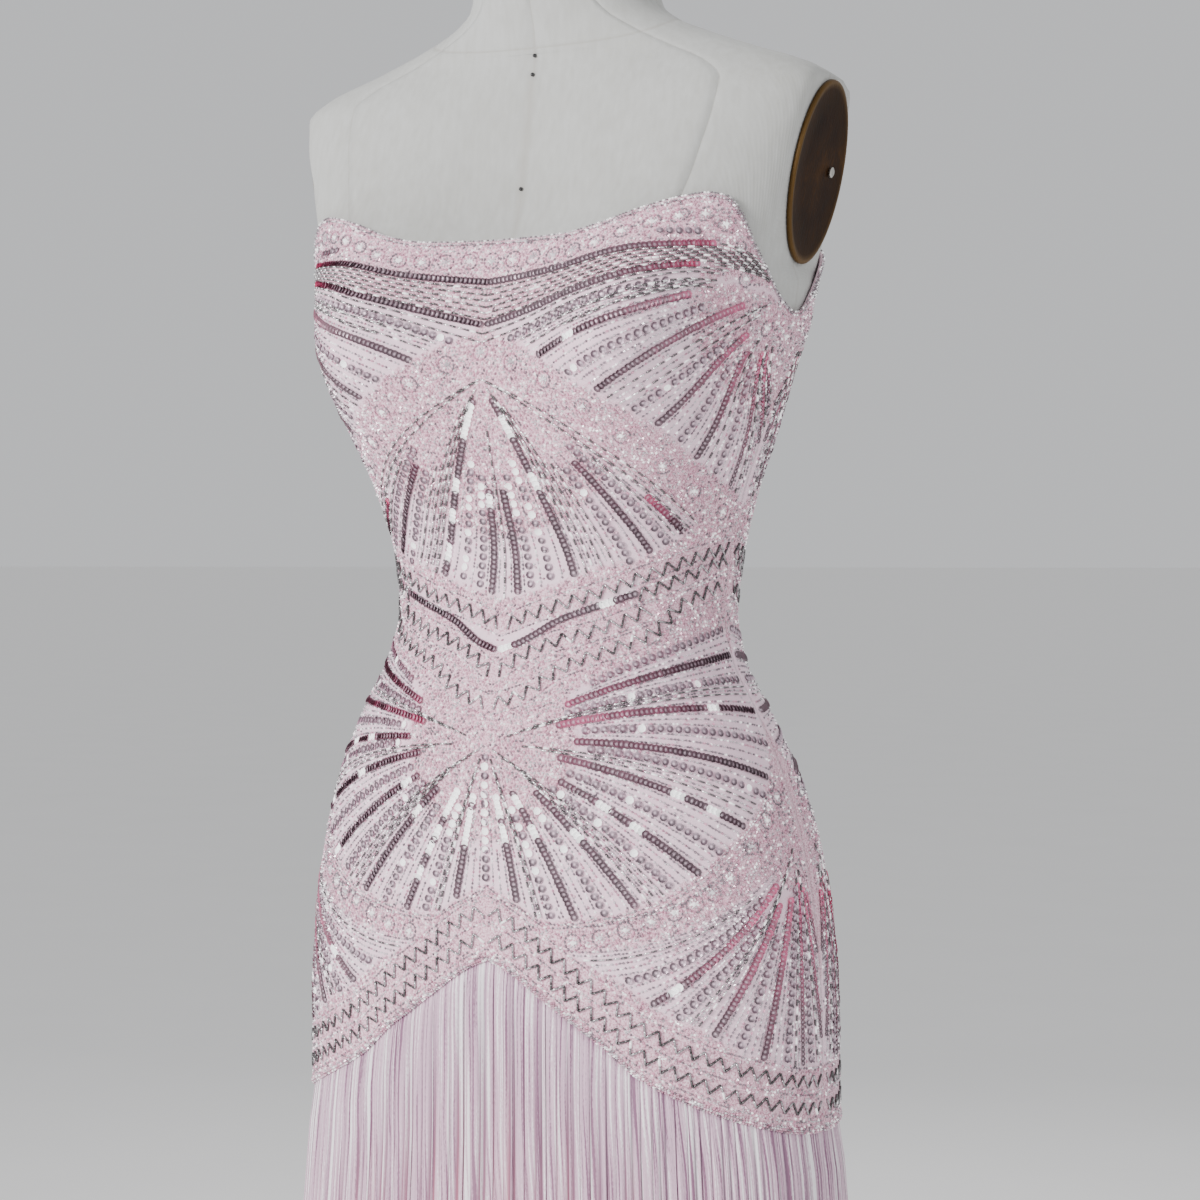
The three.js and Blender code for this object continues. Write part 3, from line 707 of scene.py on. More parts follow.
CENTRE_ROWS = [
    ("bugle", 0, 1069, 0, 30), ("dense", 9, 1070, 0.05, 64), ("sparse", 18, 1072, 0.05, 56),
    ("sparse", 31, 1076, 0.05, 46), ("dense", 45, 1081, 0.05, 13), ("bugle", 52, 1084, 0, 6),
    ("bugle", 56, 1086, 0, 12), ("bugle", 61, 1088, 0, 20), ("bugle", 68, 1089, 0, 62),
    ("sparse", 78, 1090, 0.1, 66), ("dense", 91, 1095, 0.1, 70), ("sparse", 102, 1100, 0.2, 58),
    ("bugle", 108, 1104, 0, 76), ("dense", 114, 1107, 0.75, 112), ("bugle", 119, 1108, 0, 3),
    ("bugle", 124, 1112, 0, 0),
]
CENTRE_RISES = [(0, 0), (45, 18), (78, 27), (108, 20), (117, 14), (124, 18)]
HIP_ROWS = [
    ("sparse", 152, 1050, 0.5, 66), ("seeds", 158, 1042, 0, 60), ("dense", 163, 1034, 0.4, 52),
    ("seeds", 172, 1027, 0, 60), ("sparse", 178, 1019, 0.3, 50), ("bugle", 183, 1014, 0, 15),
    ("bugle", 187, 1009, 0, 28), ("dense", 189, 999, 0.6, 48), ("seeds", 190, 990, 0, 60),
    ("sparse", 190, 980, 0.25, 62), ("seeds", 188, 971, 0, 60), ("dense", 184, 961, 0.25, 58),
    ("sparse", 176, 952, 0.2, 62), ("bugle", 171, 946, 0, 24), ("bugle", 167, 941, 0, 36),
    ("dense", 160, 934, 0.2, 48), ("seeds", 152, 927, 0, 60), ("sparse", 144, 920, 0.15, 54),
    ("seeds", 138, 914, 0, 60), ("dense", 131, 908, 0.1, 52), ("seeds", 124, 904, 0, 56),
    ("sparse", 116, 899, 0.1, 48), ("bugle", 110, 896, 0, 5), ("bugle", 106, 893, 0, 14),
    ("bugle", 102, 891, 0, 30), ("dense", 94, 889, 0.05, 42), ("seeds", 85, 886, 0, 50),
    ("sparse", 76, 884, 0.05, 48), ("seeds", 67, 882, 0, 50), ("dense", 58, 880, 0.05, 32),
    ("sparse", 44, 879, 0.05, 36), ("bugle", 37, 879, 0, 8), ("bugle", 33, 881, 0, 16),
    ("dense", 21, 888, 0.05, 30), ("seeds", 10, 893, 0, 60), ("sparse", 0, 899, 0.05, 4),
]
HIP_RISES = [(0, 6), (60, 12), (130, 16), (190, 24)]
SIDE_ROWS = [
    ("seeds", 48, 862, 0, 20), ("bugle", 60, 857, 0, 46), ("seeds", 72, 851, 0, 30),
    ("sparse", 84, 845, 0.3, 40), ("seeds", 94, 838, 0, 36), ("dense", 103, 832, 0.8, 30),
    ("seeds", 110, 827, 0, 40),
    ("sparse", 117, 823, 0.4, 52), ("bugle", 124, 820, 0, 4), ("bugle", 129, 818, 0, 20),
    ("dense", 139, 813, 0.8, 40), ("seeds", 147, 808, 0, 40), ("sparse", 154, 804, 0.4, 56),
    ("seeds", 162, 801, 0, 40), ("dense", 170, 799, 0.85, 34), ("seeds", 178, 796, 0, 40),
    ("sparse", 186, 793, 0.4, 26), ("bugle", 193, 791, 0, 16), ("fine", 200, 790, 0.8, 24),
    ("sparse", 208, 790, 0.5, 30), ("bugle", 216, 790, 0, 16), ("fine", 224, 790, 0.9, 26),
    ("seeds", 231, 790, 0, 30), ("fine", 238, 790, 0.8, 30),
]
SIDE_RISES = [(48, -36), (84, -30), (103, -18), (150, -8), (200, 0)]


def ends_of(rows):
    """Ends of a fan's rows, as an array of cloth lengths and heights."""
    return np.array([row[1:3] for row in rows], float)


def bowed(start, end, rise, middle_share=0.5):
    """Curve from a start to an end, drawn towards a point a share of the way along that stands a rise
    above the straight line: a quadratic Bezier."""
    t = np.linspace(0, 1, 40)[:, None]
    start, end = np.asarray(start, float), np.asarray(end, float)
    middle = start + (end - start) * middle_share + (0, rise)
    return (1 - t) ** 2 * start + 2 * t * (1 - t) * middle + t**2 * end


def is_plain(s, z):
    """True on the open satin of the design: in the four fans, away from their foci, in the small
    crescent at the waist and along the bare line under the arm."""
    bust = LINE_B + [(224, 1240), (190, 1100)] + BUST_EDGE_LINE[::-1]
    plain = inside(bust, s, z)
    for focus, rows, reach, first_rise in (
        (CENTRE_FOCUS, CENTRE_ROWS, 92, 0), (HIP_FOCUS, HIP_ROWS, 58, 20), (SIDE_FOCUS, SIDE_ROWS, 28, -36),
    ):
        first_row = bowed(focus, ends_of(rows)[0], first_rise)
        plain |= inside([*first_row, *ends_of(rows)], s, z) & (np.hypot(s - focus[0], z - focus[1]) > reach)
    plain &= np.hypot(s - BUST_FOCUS[0], z - BUST_FOCUS[1]) > 76
    crescent = CRESCENT + [(84, 1080), (54, 1065), (24, 1055), (0, 1046)]
    return plain | inside(crescent, s, z) | inside(BARE_LINE, s, z)


satin = Finish("beaded_satin", Sheen_Weight=0.25, Sheen_Roughness=0.35)
crust = satin.attribute("crust")
shade = satin.noise(0.05, 3.0)
speck = satin.noise(0.0011, 2.0)
thread = satin.waves(0.00055, "Z")
satin_tone = satin.mix(shade, paint(253, 211, 229), paint(255, 228, 241))
crust_tone = satin.ramp(
    speck, (0.34, paint(190, 136, 154)), (0.5, paint(244, 192, 209)), (0.66, paint(255, 230, 240))
)
satin.dress(
    colour=satin.mix(crust, satin_tone, crust_tone),
    roughness=0.36 + 0.3 * crust + 0.08 * shade,
    height=0.12 * thread + crust * speck,
    depth=0.0006,
)


def cloth_wall(outside, within, columns, rows):
    """Corners of a closed wall of two grids that are joined along their four edges."""
    wide = columns + 1
    count = wide * (rows + 1)
    outer = grid_faces(columns, rows)
    inner = grid_faces(columns, rows, first=count)[:, ::-1]
    c, r = np.arange(columns), np.arange(rows)
    foot = np.stack([c, c + count, c + 1 + count, c + 1], -1)
    head = np.stack([c, c + 1, c + 1 + count, c + count], -1) + rows * wide
    start = np.stack([r * wide, (r + 1) * wide, (r + 1) * wide + count, r * wide + count], -1)
    end = start[:, ::-1] + columns
    points = np.concatenate([outside.reshape(-1, 3), within.reshape(-1, 3)])
    return points, np.concatenate([outer, inner, foot, head, start, end])


BODICE_ROWS = 132
PANELS = {
    "bodice_front": ("gown_front", -90, 90, 132, (0.50, 0.545), 0.183),
    "bodice_back_left": ("gown_back_left", 90, 180, 64, (0.25, 0.53), 0.098),
    "bodice_back_right": ("gown_back_right", 180, 270, 64, (0.25, 0.53), 0.098),
}
for name, (node, first, last, columns, cut, cut_area) in PANELS.items():
    angles = np.linspace(first + SEAM_GAP_ANGLE, last - SEAM_GAP_ANGLE, columns + 1)[None, :]
    share = np.linspace(0, 1, BODICE_ROWS + 1)[:, None]
    z = lower_edge(angles) + (top_edge(angles) - lower_edge(angles)) * share
    quarter = "front" if name == "bodice_front" else "back"
    s = share_at(quarter, angles + 0 * z, z) * quarter_length("front", z)
    encrusted = 1.0 - is_plain(s, z)
    outside = on_body(angles, z, CLOTH_OUT)
    within = on_body(angles, z, CLOTH_OFF_FORM)
    points, quads = cloth_wall(outside, within, columns, BODICE_ROWS)
    values = np.concatenate([encrusted.ravel(), np.zeros(encrusted.size)])
    panel = put_mesh(name, points, quads, material=satin.material, values={"crust": values})
    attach(panel, "gown_on_form")
    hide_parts(node)


# The rows of the beadwork, drawn once for a quarter of the bodice and repeated in mirror on the others:
# cup sequins, cut glass bugles and seed beads, each sewn through to the lining in running rows.
rows_of_beads = []


def add_row(kind, line, tone=0.0, start=0.0):
    """Keeps a row: kind of bead, its line, tone from 0 plum to 1 rose at its start, or below 0 for rose
    at its end, and the length left bare at its start."""
    rows_of_beads.append((kind, np.asarray(line, float), tone, start))


def evenly(line, count):
    """Points at equal steps along a line."""
    line = np.asarray(line, float)
    along = np.concatenate([[0], np.cumsum(np.linalg.norm(np.diff(line, axis=0), axis=1))])
    at = np.linspace(0, along[-1], count)
    return np.stack([np.interp(at, along, line[:, 0]), np.interp(at, along, line[:, 1])], -1)


def rounded(line):
    """Line of many points through a few, as monotone cubics of its cloth length."""
    line = np.asarray(line, float)
    s = np.linspace(line[0, 0], line[-1, 0], 120)
    return np.stack([s, smooth(line[:, 0], line[:, 1], s)], -1)


def between(first, second, share):
    """Line at a share of the way from one line to another."""
    return evenly(first, 120) * (1 - share) + evenly(second, 120) * share


def stretch(line, first, last):
    """The part of a line between two cloth lengths."""
    return line[(line[:, 0] >= first) & (line[:, 0] <= last)]


# Under the neckline: two rows of dark sequins, rose towards the sides, with bugles packed between them
# and fanning together at the arm's foot
line_a, line_b = rounded(LINE_A), rounded(LINE_B)
add_row("dense", stretch(line_a, 0, 148), tone=-0.8)
add_row("dense", stretch(line_b, 0, 144), tone=-0.9)
for share, first, last in (
    (0.0, 151, 220), (0.16, 0, 220), (0.3, 0, 220), (0.44, 0, 220), (0.58, 0, 220), (0.72, 0, 220),
    (0.86, 0, 220), (1.0, 151, 220), (1.2, 0, 166), (1.4, 0, 162), (1.75, 60, 160), (2.1, 64, 158),
):
    add_row("bugle", stretch(between(line_a, line_b, share), first, last))
add_row("sparse", stretch(between(line_a, line_b, -0.6), 108, 136))

# The fans: over the bust from the arm's foot, under the breastbone, over the hips and at the sides. Seed
# beads run down the middle of every strip of open satin between two rows.
FANS = [
    # focus, rows, rises of the rows' bows by cloth length, where the bow is highest, bare share of seeds
    (BUST_FOCUS, BUST_ROWS, BUST_RISES, 0.2, 0.40),
    (CENTRE_FOCUS, CENTRE_ROWS, CENTRE_RISES, 0.5, 0.45),
    (HIP_FOCUS, HIP_ROWS, HIP_RISES, 0.5, 0.40),
    (SIDE_FOCUS, SIDE_ROWS, SIDE_RISES, 0.5, 0.38),
]
for focus, rows, rises, highest, bare_share in FANS:
    ends = ends_of(rows)
    bows = np.interp(ends[:, 0], *np.transpose(rises))
    for (kind, end_s, end_z, tone, bare), bow in zip(rows, bows):
        add_row(kind, bowed(focus, (end_s, end_z), bow, highest), tone, start=bare)
    for end, bow in zip((ends[1:] + ends[:-1]) / 2, (bows[1:] + bows[:-1]) / 2):
        add_row("seeds", bowed(focus, end, bow, highest), start=bare_share * np.hypot(*(end - focus)))
hip_edge = stretch(ends_of(HIP_ROWS), 0, 184)
hip_edge = hip_edge[hip_edge[:, 1] < 965]
for growth in (1.02, 1.04):
    add_row("seeds", (hip_edge - HIP_FOCUS) * growth + HIP_FOCUS)
side_edge = stretch(hip_edge, 33, 160) - (0, 8)
for share in (0.1, 0.2):
    add_row("seeds", between(side_edge, SIDE_FOCUS + 0 * side_edge, share))

# Zigzags of bugles round the waist and along the hem, with a row of seed beads on both sides of each
for line in ZIGZAGS:
    add_row("zigzag", rounded(line))
    for aside in (-6.5, 6.5):
        add_row("seeds", rounded(line) + (0, aside))
add_row("dense", rounded(CRESCENT), tone=0.05)
hem_share = np.linspace(0, 1, 160)
hem_angle = angle_at("front", hem_share, 800 + 0 * hem_share)
hem_z = lower_edge(hem_angle)
hem_line = np.stack([hem_share * quarter_length("front", hem_z), hem_z], -1)
for above in (14, 30):
    add_row("hem_zigzag", hem_line + (0, above))
for above in (6, 22, 38):
    add_row("seeds", hem_line + (0, above))


# Places of all beads: every row laid on the cloth of its quarter at its bead's spacing.
PITCH = {"dense": 2.9, "sparse": 5.5, "fine": 2.7, "bugle": 4.5, "seeds": 2.3}
ZIG_STEP = 5.0
ZIG_HALF = 3.8
# Painted highlights: where the lamp's reflection falls, a share of the beads are painted as glints.
GLINTS = [
    # cloth length, height, reach across and up, share of beads painted as catching the light there, a
    # painted highlight
    (8, 940, 40, 26, 0.90), (12, 1152, 26, 34, 0.75), (28, 1095, 40, 26, 0.12), (75, 1208, 24, 12, 0.18),
    (110, 955, 60, 40, 0.10), (110, 1012, 40, 18, 0.16), (110, 835, 30, 14, 0.22),
]
GLINT_BASE = 0.012
draw = np.random.default_rng(7)


def glint_share(s, z):
    """Share of the beads painted as glints, a painted highlight: a few everywhere, and a bell round each
    glint's place.
    """
    bells = (
        share * np.exp(-(((s - at_s) / across) ** 2) - ((z - at_z) / up) ** 2)
        for at_s, at_z, across, up, share in GLINTS
    )
    return GLINT_BASE + sum(bells)


def on_cloth(angle, z, lift):
    """Point on the bodice's face lifted by millimetres, with unit directions across, up and outward."""
    point = on_body(angle, z, CLOTH_OUT + lift)
    across = on_body(angle + 0.1, z, CLOTH_OUT) - on_body(angle - 0.1, z, CLOTH_OUT)
    up = on_body(angle, z + 0.6, CLOTH_OUT) - on_body(angle, z - 0.6, CLOTH_OUT)
    out = np.cross(across, up)
    return point, unit(across), unit(up), unit(out)


def unit(vectors):
    """Vectors of length one."""
    return vectors / np.maximum(np.linalg.norm(vectors, axis=-1, keepdims=True), 1e-12)


def lay_row(quarter, line, pitch, start):
    """Lays a line on the cloth and cuts it in steps of true length; gives the angle and height of each
    step and of a point just ahead of it, and its cloth length in the design."""
    span = np.concatenate([[0], np.cumsum(np.linalg.norm(np.diff(line, axis=0), axis=1))])
    fine = np.linspace(0, span[-1], max(8, int(span[-1] / 1.5)))
    s, z = np.interp(fine, span, line[:, 0]), np.interp(fine, span, line[:, 1])
    share = s / quarter_length("front", z)
    angle = angle_at(quarter, share, z)
    points = on_body(angle, z, CLOTH_OUT) * 1000
    along = np.concatenate([[0], np.cumsum(np.linalg.norm(np.diff(points, axis=0), axis=1))])
    scale = along[-1] / max(span[-1], 1)
    at = np.arange(start * scale + pitch / 2, along[-1], pitch)
    ahead = at + 0.8
    pick = [np.interp(at, along, values) for values in (angle, z, s, share)]
    further = np.interp(ahead, along, angle), np.interp(ahead, along, z)
    keep = (pick[3] < 1 - 3.5 / quarter_length(quarter, pick[1])) & (ahead < along[-1])
    keep &= (pick[1] > lower_edge(pick[0]) + 2) & (pick[1] < top_edge(pick[0]) - 2)
    return [values[keep] for values in (*pick[:3], *further)]


KIND_OF = {"dense": "sequin", "sparse": "sequin", "fine": "sequin", "bugle": "bugle", "seeds": "seed"}
SEQUIN_FAMILY = {"dense": 0, "sparse": 10, "fine": 20}
LIFTS = {"sequin": 0.55, "bugle": 0.75, "seed": 0.45}
ROW_REACH = {"sequin": 3.0, "bugle": 1.7, "seed": 1.3}
beads = {quarter: {"sequin": [], "bugle": [], "seed": []} for quarter in QUARTERS}
marks = []
for quarter in QUARTERS:
    for number, (kind, line, tone, start) in enumerate(rows_of_beads):
        if "zigzag" in kind:
            if kind == "hem_zigzag" and quarter == "back":
                above = line[0, 1] - lower_edge(0.0)
                angle = angle_at("back", hem_share, 800 + 0 * hem_share)
                z = lower_edge(angle) + above
                line = np.stack([hem_share * quarter_length("front", z), z], -1)
            angle, z, s, next_angle, next_z = lay_row(quarter, line, ZIG_STEP, 0)
            if len(angle) < 3:
                continue
            point, across, up, out = on_cloth(angle, z, LIFTS["bugle"])
            ahead = on_body(next_angle, next_z, CLOTH_OUT + LIFTS["bugle"])
            forward = unit(ahead - point)
            sideways = unit(np.cross(out, forward))
            swing = np.where(np.arange(len(angle)) % 2, 1, -1)[:, None] * ZIG_HALF / 1000
            corner = point + sideways * swing
            leg = corner[1:] - corner[:-1]
            odd_leg = np.arange(len(leg)) % 2
            dark_share = np.interp(s[:-1], [0, 60, 120], [0.30, 0.46, 0.60])
            for part in (0.27, 0.73):
                place = corner[:-1] + leg * part
                dark = draw.random(len(place)) < dark_share * np.where(odd_leg, 0.45, 1.4)
                value = np.where(dark, 2.0, 3.0)
                beads[quarter]["bugle"].append((place, unit(leg), out[:-1], value, 0 * value))
            if quarter == "front":
                marks.append(np.stack([s, z, np.full(len(s), 4.5)], -1))
            continue
        offset = 0 if kind == "bugle" else number % 2 * PITCH[kind] / 2
        angle, z, s, next_angle, next_z = lay_row(quarter, line, PITCH[kind], start + offset)
        if len(angle) == 0:
            continue
        shape = KIND_OF[kind]
        point, across, up, out = on_cloth(angle, z, LIFTS[shape])
        forward = unit(on_body(next_angle, next_z, CLOTH_OUT + LIFTS[shape]) - point)
        value = np.zeros(len(angle))
        if shape == "sequin":
            along_row = np.linspace(0, 1, len(angle))
            fading = (1 - along_row) ** (3.2 - 2.4 * tone) if tone > 0 else along_row**6
            value = abs(tone) * fading + SEQUIN_FAMILY[kind]
        elif shape == "bugle":
            value = (np.arange(len(angle)) + number) % 2 * 1.0
        beads[quarter][shape].append((point, forward, out, value, glint_share(s, z)))
        if quarter == "front":
            marks.append(np.stack([s, z, np.full(len(s), ROW_REACH[shape])], -1))


# Ground of the design: seed beads and small crystals sown thick over everything but the open satin,
# with a few strays on the satin itself.
SOW_STEP = 2.35
GRID = (280, 600)
GRID_FOOT = 735


def cell_of(s, z):
    """Column and level of the grid's cell, a millimetre square, at a cloth length and a height."""
    column = np.clip(s.astype(int), 0, GRID[0] - 1)
    return column, np.clip((z - GRID_FOOT).astype(int), 0, GRID[1] - 1)


marks = np.concatenate(marks)
taken = np.zeros(GRID, bool)
for reach in np.unique(marks[:, 2]):
    spots = marks[marks[:, 2] == reach]
    across = np.arange(-int(reach) - 1, int(reach) + 2)
    for ds in across:
        for dz in across:
            if ds * ds + dz * dz <= reach * reach:
                taken[cell_of(spots[:, 0] + ds, spots[:, 1] + dz)] = True

# rosettes along the neckline, under the bust fan and round the hip fan, as cloth length and height
NECK_STEP = 15.0
NECK_LEVEL = 1290.0
BELOW_EDGE = 12
INNER_ROSETTES = [
    (0, 1214), (22, 1207), (46, 1196), (68, 1180), (86, 1163), (106, 1146), (124, 1132), (146, 1120),
    (56, 867), (73, 870), (88, 875), (103, 881), (116, 886), (128, 891), (139, 897), (150, 905),
    (164, 923), (177, 937), (189, 950), (198, 968), (203, 985),
]
neck_s = np.arange(0, 212, NECK_STEP)
neck_angle = angle_at("front", neck_s / quarter_length("front", NECK_LEVEL), NECK_LEVEL + 0 * neck_s)
neck_places = np.stack([neck_s, top_edge(neck_angle) - BELOW_EDGE], -1)
rosettes = np.concatenate([neck_places, np.array(INNER_ROSETTES, float)])

EDGE_PITCH = 1.9
EDGE_ROWS = [
    # edge, height its angles are taken at, rise over the edge, lift off the cloth, kind of seed
    (top_edge, 1280, 0.6, 0.4, 2.0), (top_edge, 1280, -1.5, 1.3, 2.0),
    (lower_edge, 790, -0.6, 0.2, 1.0), (lower_edge, 790, 0.8, 1.2, 1.0), (lower_edge, 790, 2.2, 0.9, 1.0),
]
for quarter in QUARTERS:
    high = np.arange(745, 1306, SOW_STEP * 0.87)
    wide = np.arange(0, 250, SOW_STEP)
    run, z = np.meshgrid(wide, high)
    run = run + (np.arange(len(high)) % 2)[:, None] * SOW_STEP / 2
    run = (run + draw.uniform(-0.6, 0.6, run.shape)).ravel()
    z = (z + draw.uniform(-0.6, 0.6, z.shape)).ravel()
    length = quarter_length(quarter, z)
    share = run / length
    angle = angle_at(quarter, share, z)
    s = share * quarter_length("front", z)
    keep = (run > 0.4) & (run < length - 1.5) & (z > lower_edge(angle) + 1) & (z < top_edge(angle) - 1)
    keep &= ~taken[cell_of(s, z)]
    near = np.min(np.hypot(s[:, None] - rosettes[:, 0], z[:, None] - rosettes[:, 1]), axis=1)
    keep &= near > 6.2
    chance = np.where(is_plain(s, z), 0.10, 0.93)
    bare_side = (run > length - 5) & (z > 830) & (z < 1000)
    keep &= (draw.random(len(run)) < chance) & ~bare_side
    angle, z = angle[keep], z[keep]
    point, across, up, out = on_cloth(angle, z, LIFTS["seed"])
    turn = draw.uniform(0, 2 * np.pi, len(angle))[:, None]
    forward = across * np.cos(turn) + up * np.sin(turn)
    beads[quarter]["seed"].append((point, forward, out, np.ones(len(angle)), np.zeros(len(angle))))
    # picot of seed beads along the neckline and a thick edge of them along the hem
    for edge_z, level, rise, lift, value in EDGE_ROWS:
        share = np.linspace(0, 1, 400)
        angle = angle_at(quarter, share, level + 0 * share)
        z = edge_z(angle) + rise
        line = on_body(angle, z, CLOTH_OUT) * 1000
        along = np.concatenate([[0], np.cumsum(np.linalg.norm(np.diff(line, axis=0), axis=1))])
        at = np.arange(0.8, along[-1] - 0.8, EDGE_PITCH)
        angle, z = np.interp(at, along, angle), np.interp(at, along, z)
        point, across, up, out = on_cloth(angle, z, lift)
        values = np.full(len(at), value)
        beads[quarter]["seed"].append((point, across, out, values, 0 * values))
    # rosettes: a crystal with eight petals of seed beads and a ring of small ones
    share = rosettes[:, 0] / quarter_length("front", rosettes[:, 1])
    fits = share < 1 - 7 / quarter_length(quarter, rosettes[:, 1])
    angle, z = angle_at(quarter, share, rosettes[:, 1])[fits], rosettes[fits, 1]
    on_centre = rosettes[fits, 0] < 1
    point, across, up, out = on_cloth(angle, z, 0.5)
    for count, radius, value in ((1, 0.0, 3.0), (8, 2.5, 4.0), (13, 4.9, 5.0)):
        for petal in range(count):
            turn = 2 * np.pi * (petal + 0.5) / count
            spoke = across * np.cos(turn) + up * np.sin(turn)
            round_it = up * np.cos(turn) - across * np.sin(turn)
            place = point + spoke * radius / 1000
            along = round_it if count > 8 else spoke
            own = ~on_centre | (np.cos(turn) > 0) | (radius == 0)
            values = np.full(own.sum(), value)
            beads[quarter]["seed"].append((place[own], along[own], out[own], values, 0 * values))


# Bead shapes, each a closed body of a few faces round its own middle, in millimetres: a cupped sequin
# with a stitched hole, a five-sided bugle and a faceted seed bead.
ring8 = 2 * np.pi * np.arange(8) / 8
cup_middle = np.stack([1.25 * np.cos(ring8), 1.25 * np.sin(ring8), np.full(8, -0.05)], -1)
cup_rim = np.stack([2.45 * np.cos(ring8), 2.45 * np.sin(ring8), np.full(8, 0.55)], -1)
sequin_points = np.concatenate([[(0, 0, -0.15)], cup_middle, cup_rim, [(0, 0, -0.9)]])
side = np.arange(8)
after = (side + 1) % 8
sequin_faces = np.concatenate([
    np.stack([np.zeros(8, int), 1 + side, 1 + after], -1),
    np.stack([1 + side, 9 + side, 9 + after], -1),
    np.stack([1 + side, 9 + after, 1 + after], -1),
    np.stack([np.full(8, 17), 9 + after, 9 + side], -1),
])
# Painted light on the sequins: the pale centre is a painted reflection of the satin in the cup, and on the
# sparse rows one side of the cup is paled as a painted highlight where the light falls.
lit_side = np.clip(1.3 * np.cos(ring8 - 2.5) - 0.35, 0, 0.8)
sequin_painted_reflection = np.concatenate([[0.95], np.full(8, 0.08), np.zeros(9)])
sequin_painted_highlight = np.concatenate([[0.15], 0.5 * lit_side, lit_side, [0.0]])
ring5 = 2 * np.pi * np.arange(5) / 5
bugle_points = np.concatenate([
    np.stack([np.full(5, end * 1.85), 0.66 * np.cos(ring5), 0.66 * np.sin(ring5)], -1) for end in (-1, 1)
] + [[(-1.85, 0, 0), (1.85, 0, 0)]])
side = np.arange(5)
after = (side + 1) % 5
bugle_faces = np.concatenate([
    np.stack([side, 5 + side, 5 + after], -1)[:, ::-1],
    np.stack([side, 5 + after, after], -1)[:, ::-1],
    np.stack([np.full(5, 10), side, after], -1)[:, ::-1],
    np.stack([np.full(5, 11), 5 + side, 5 + after], -1),
])
# Painted shade: the middles of the bugles' end caps are darkened where the tube is hollow.
bugle_painted_shade = np.concatenate([np.full(10, 0.0), [-0.7, -0.7]])
seed_points = np.array([
    (1.3, 0, -0.35), (0, 0.85, -0.35), (-1.3, 0, -0.35), (0, -0.85, -0.35), (0, 0, 0.85)
])
seed_faces = np.array([(0, 1, 4), (1, 2, 4), (2, 3, 4), (3, 0, 4), (0, 3, 2), (0, 2, 1)])
# Painted light on the seeds: the corners at their foot are darkened as painted shade, and the tip is paled
# as a painted highlight.
seed_painted_light = np.array([-0.35, -0.35, -0.35, -0.35, 0.2])


def copies(points, faces, place, forward, out, size, tilt):
    """Copies of a shape at many places: its x axis along the row, its z axis outward, leaned by a tilt
    along and across the row in radians, and scaled by a size each."""
    out = unit(out + forward * tilt[:, :1] + np.cross(out, forward) * tilt[:, 1:])
    beside = unit(np.cross(out, forward))
    forward = np.cross(beside, out)
    local = points[None] * size[:, None, None] / 1000
    moved = (
        place[:, None]
        + local[..., :1] * forward[:, None]
        + local[..., 1:2] * beside[:, None]
        + local[..., 2:] * out[:, None]
    )
    numbered = faces[None] + (np.arange(len(place)) * len(points))[:, None, None]
    return moved.reshape(-1, 3), numbered.reshape(-1, 3)


def tints(*colours):
    """Linear colours of several screen colours."""
    return [np.array(paint(*colour)) for colour in colours]


PLUM, ROSE, MAUVE = tints((60, 14, 40), (214, 76, 130), (64, 42, 58))
PEWTER, SILVER, GUNMETAL, NICKEL = tints((92, 89, 89), (250, 246, 248), (58, 57, 57), (176, 172, 175))
# Pale satin pink that the beads' painted highlights and painted reflections are paled towards.
PAINTED_HIGHLIGHT_PINK = np.array(paint(240, 210, 228))
PINK_GLASS, CLEAR_GLASS, DEEP_GLASS, GREY_GLASS = tints(
    (255, 197, 218), (255, 248, 254), (238, 160, 190), (118, 106, 116)
)


def sequin_colours(value):
    """Plum to rose by tone, grey mauve on the sparse rows."""
    sparse = (value >= 10) & (value < 20)
    base = PLUM + (ROSE - PLUM) * (value % 10)[:, None]
    base = np.where(sparse[:, None], MAUVE + (base - MAUVE) * 0.4, base)
    return base * draw.uniform(0.6, 1.5, len(value))[:, None]


def bugle_colours(value):
    """Dark pewter and bright silver in turn along the rows, gunmetal and nickel in the zigzags."""
    choices = np.stack([PEWTER, SILVER, GUNMETAL, NICKEL])
    return choices[value.astype(int)] * draw.uniform(0.7, 1.2, len(value))[:, None]


def seed_colours(value):
    """Pink, clear, deep rose or grey glass by lot; picots and rosettes are mostly silver and clear."""
    lot = draw.random(len(value))[:, None]
    glass = np.where(lot < 0.76, CLEAR_GLASS, np.where(lot < 0.90, DEEP_GLASS, GREY_GLASS))
    base = np.where(lot < 0.46, PINK_GLASS, glass)
    silver = np.where(lot < 0.5, GREY_GLASS, CLEAR_GLASS)
    base = np.where((value == 0)[:, None], np.where(lot < 0.3, GREY_GLASS, glass), base)
    base = np.where((value == 2)[:, None], silver, base)
    base = np.where((value == 3)[:, None], CLEAR_GLASS, base)
    base = np.where((value == 4)[:, None], CLEAR_GLASS, base)
    base = np.where((value == 5)[:, None], np.where(lot < 0.6, GREY_GLASS, DEEP_GLASS), base)
    return base * draw.uniform(0.6, 1.25, len(value))[:, None]


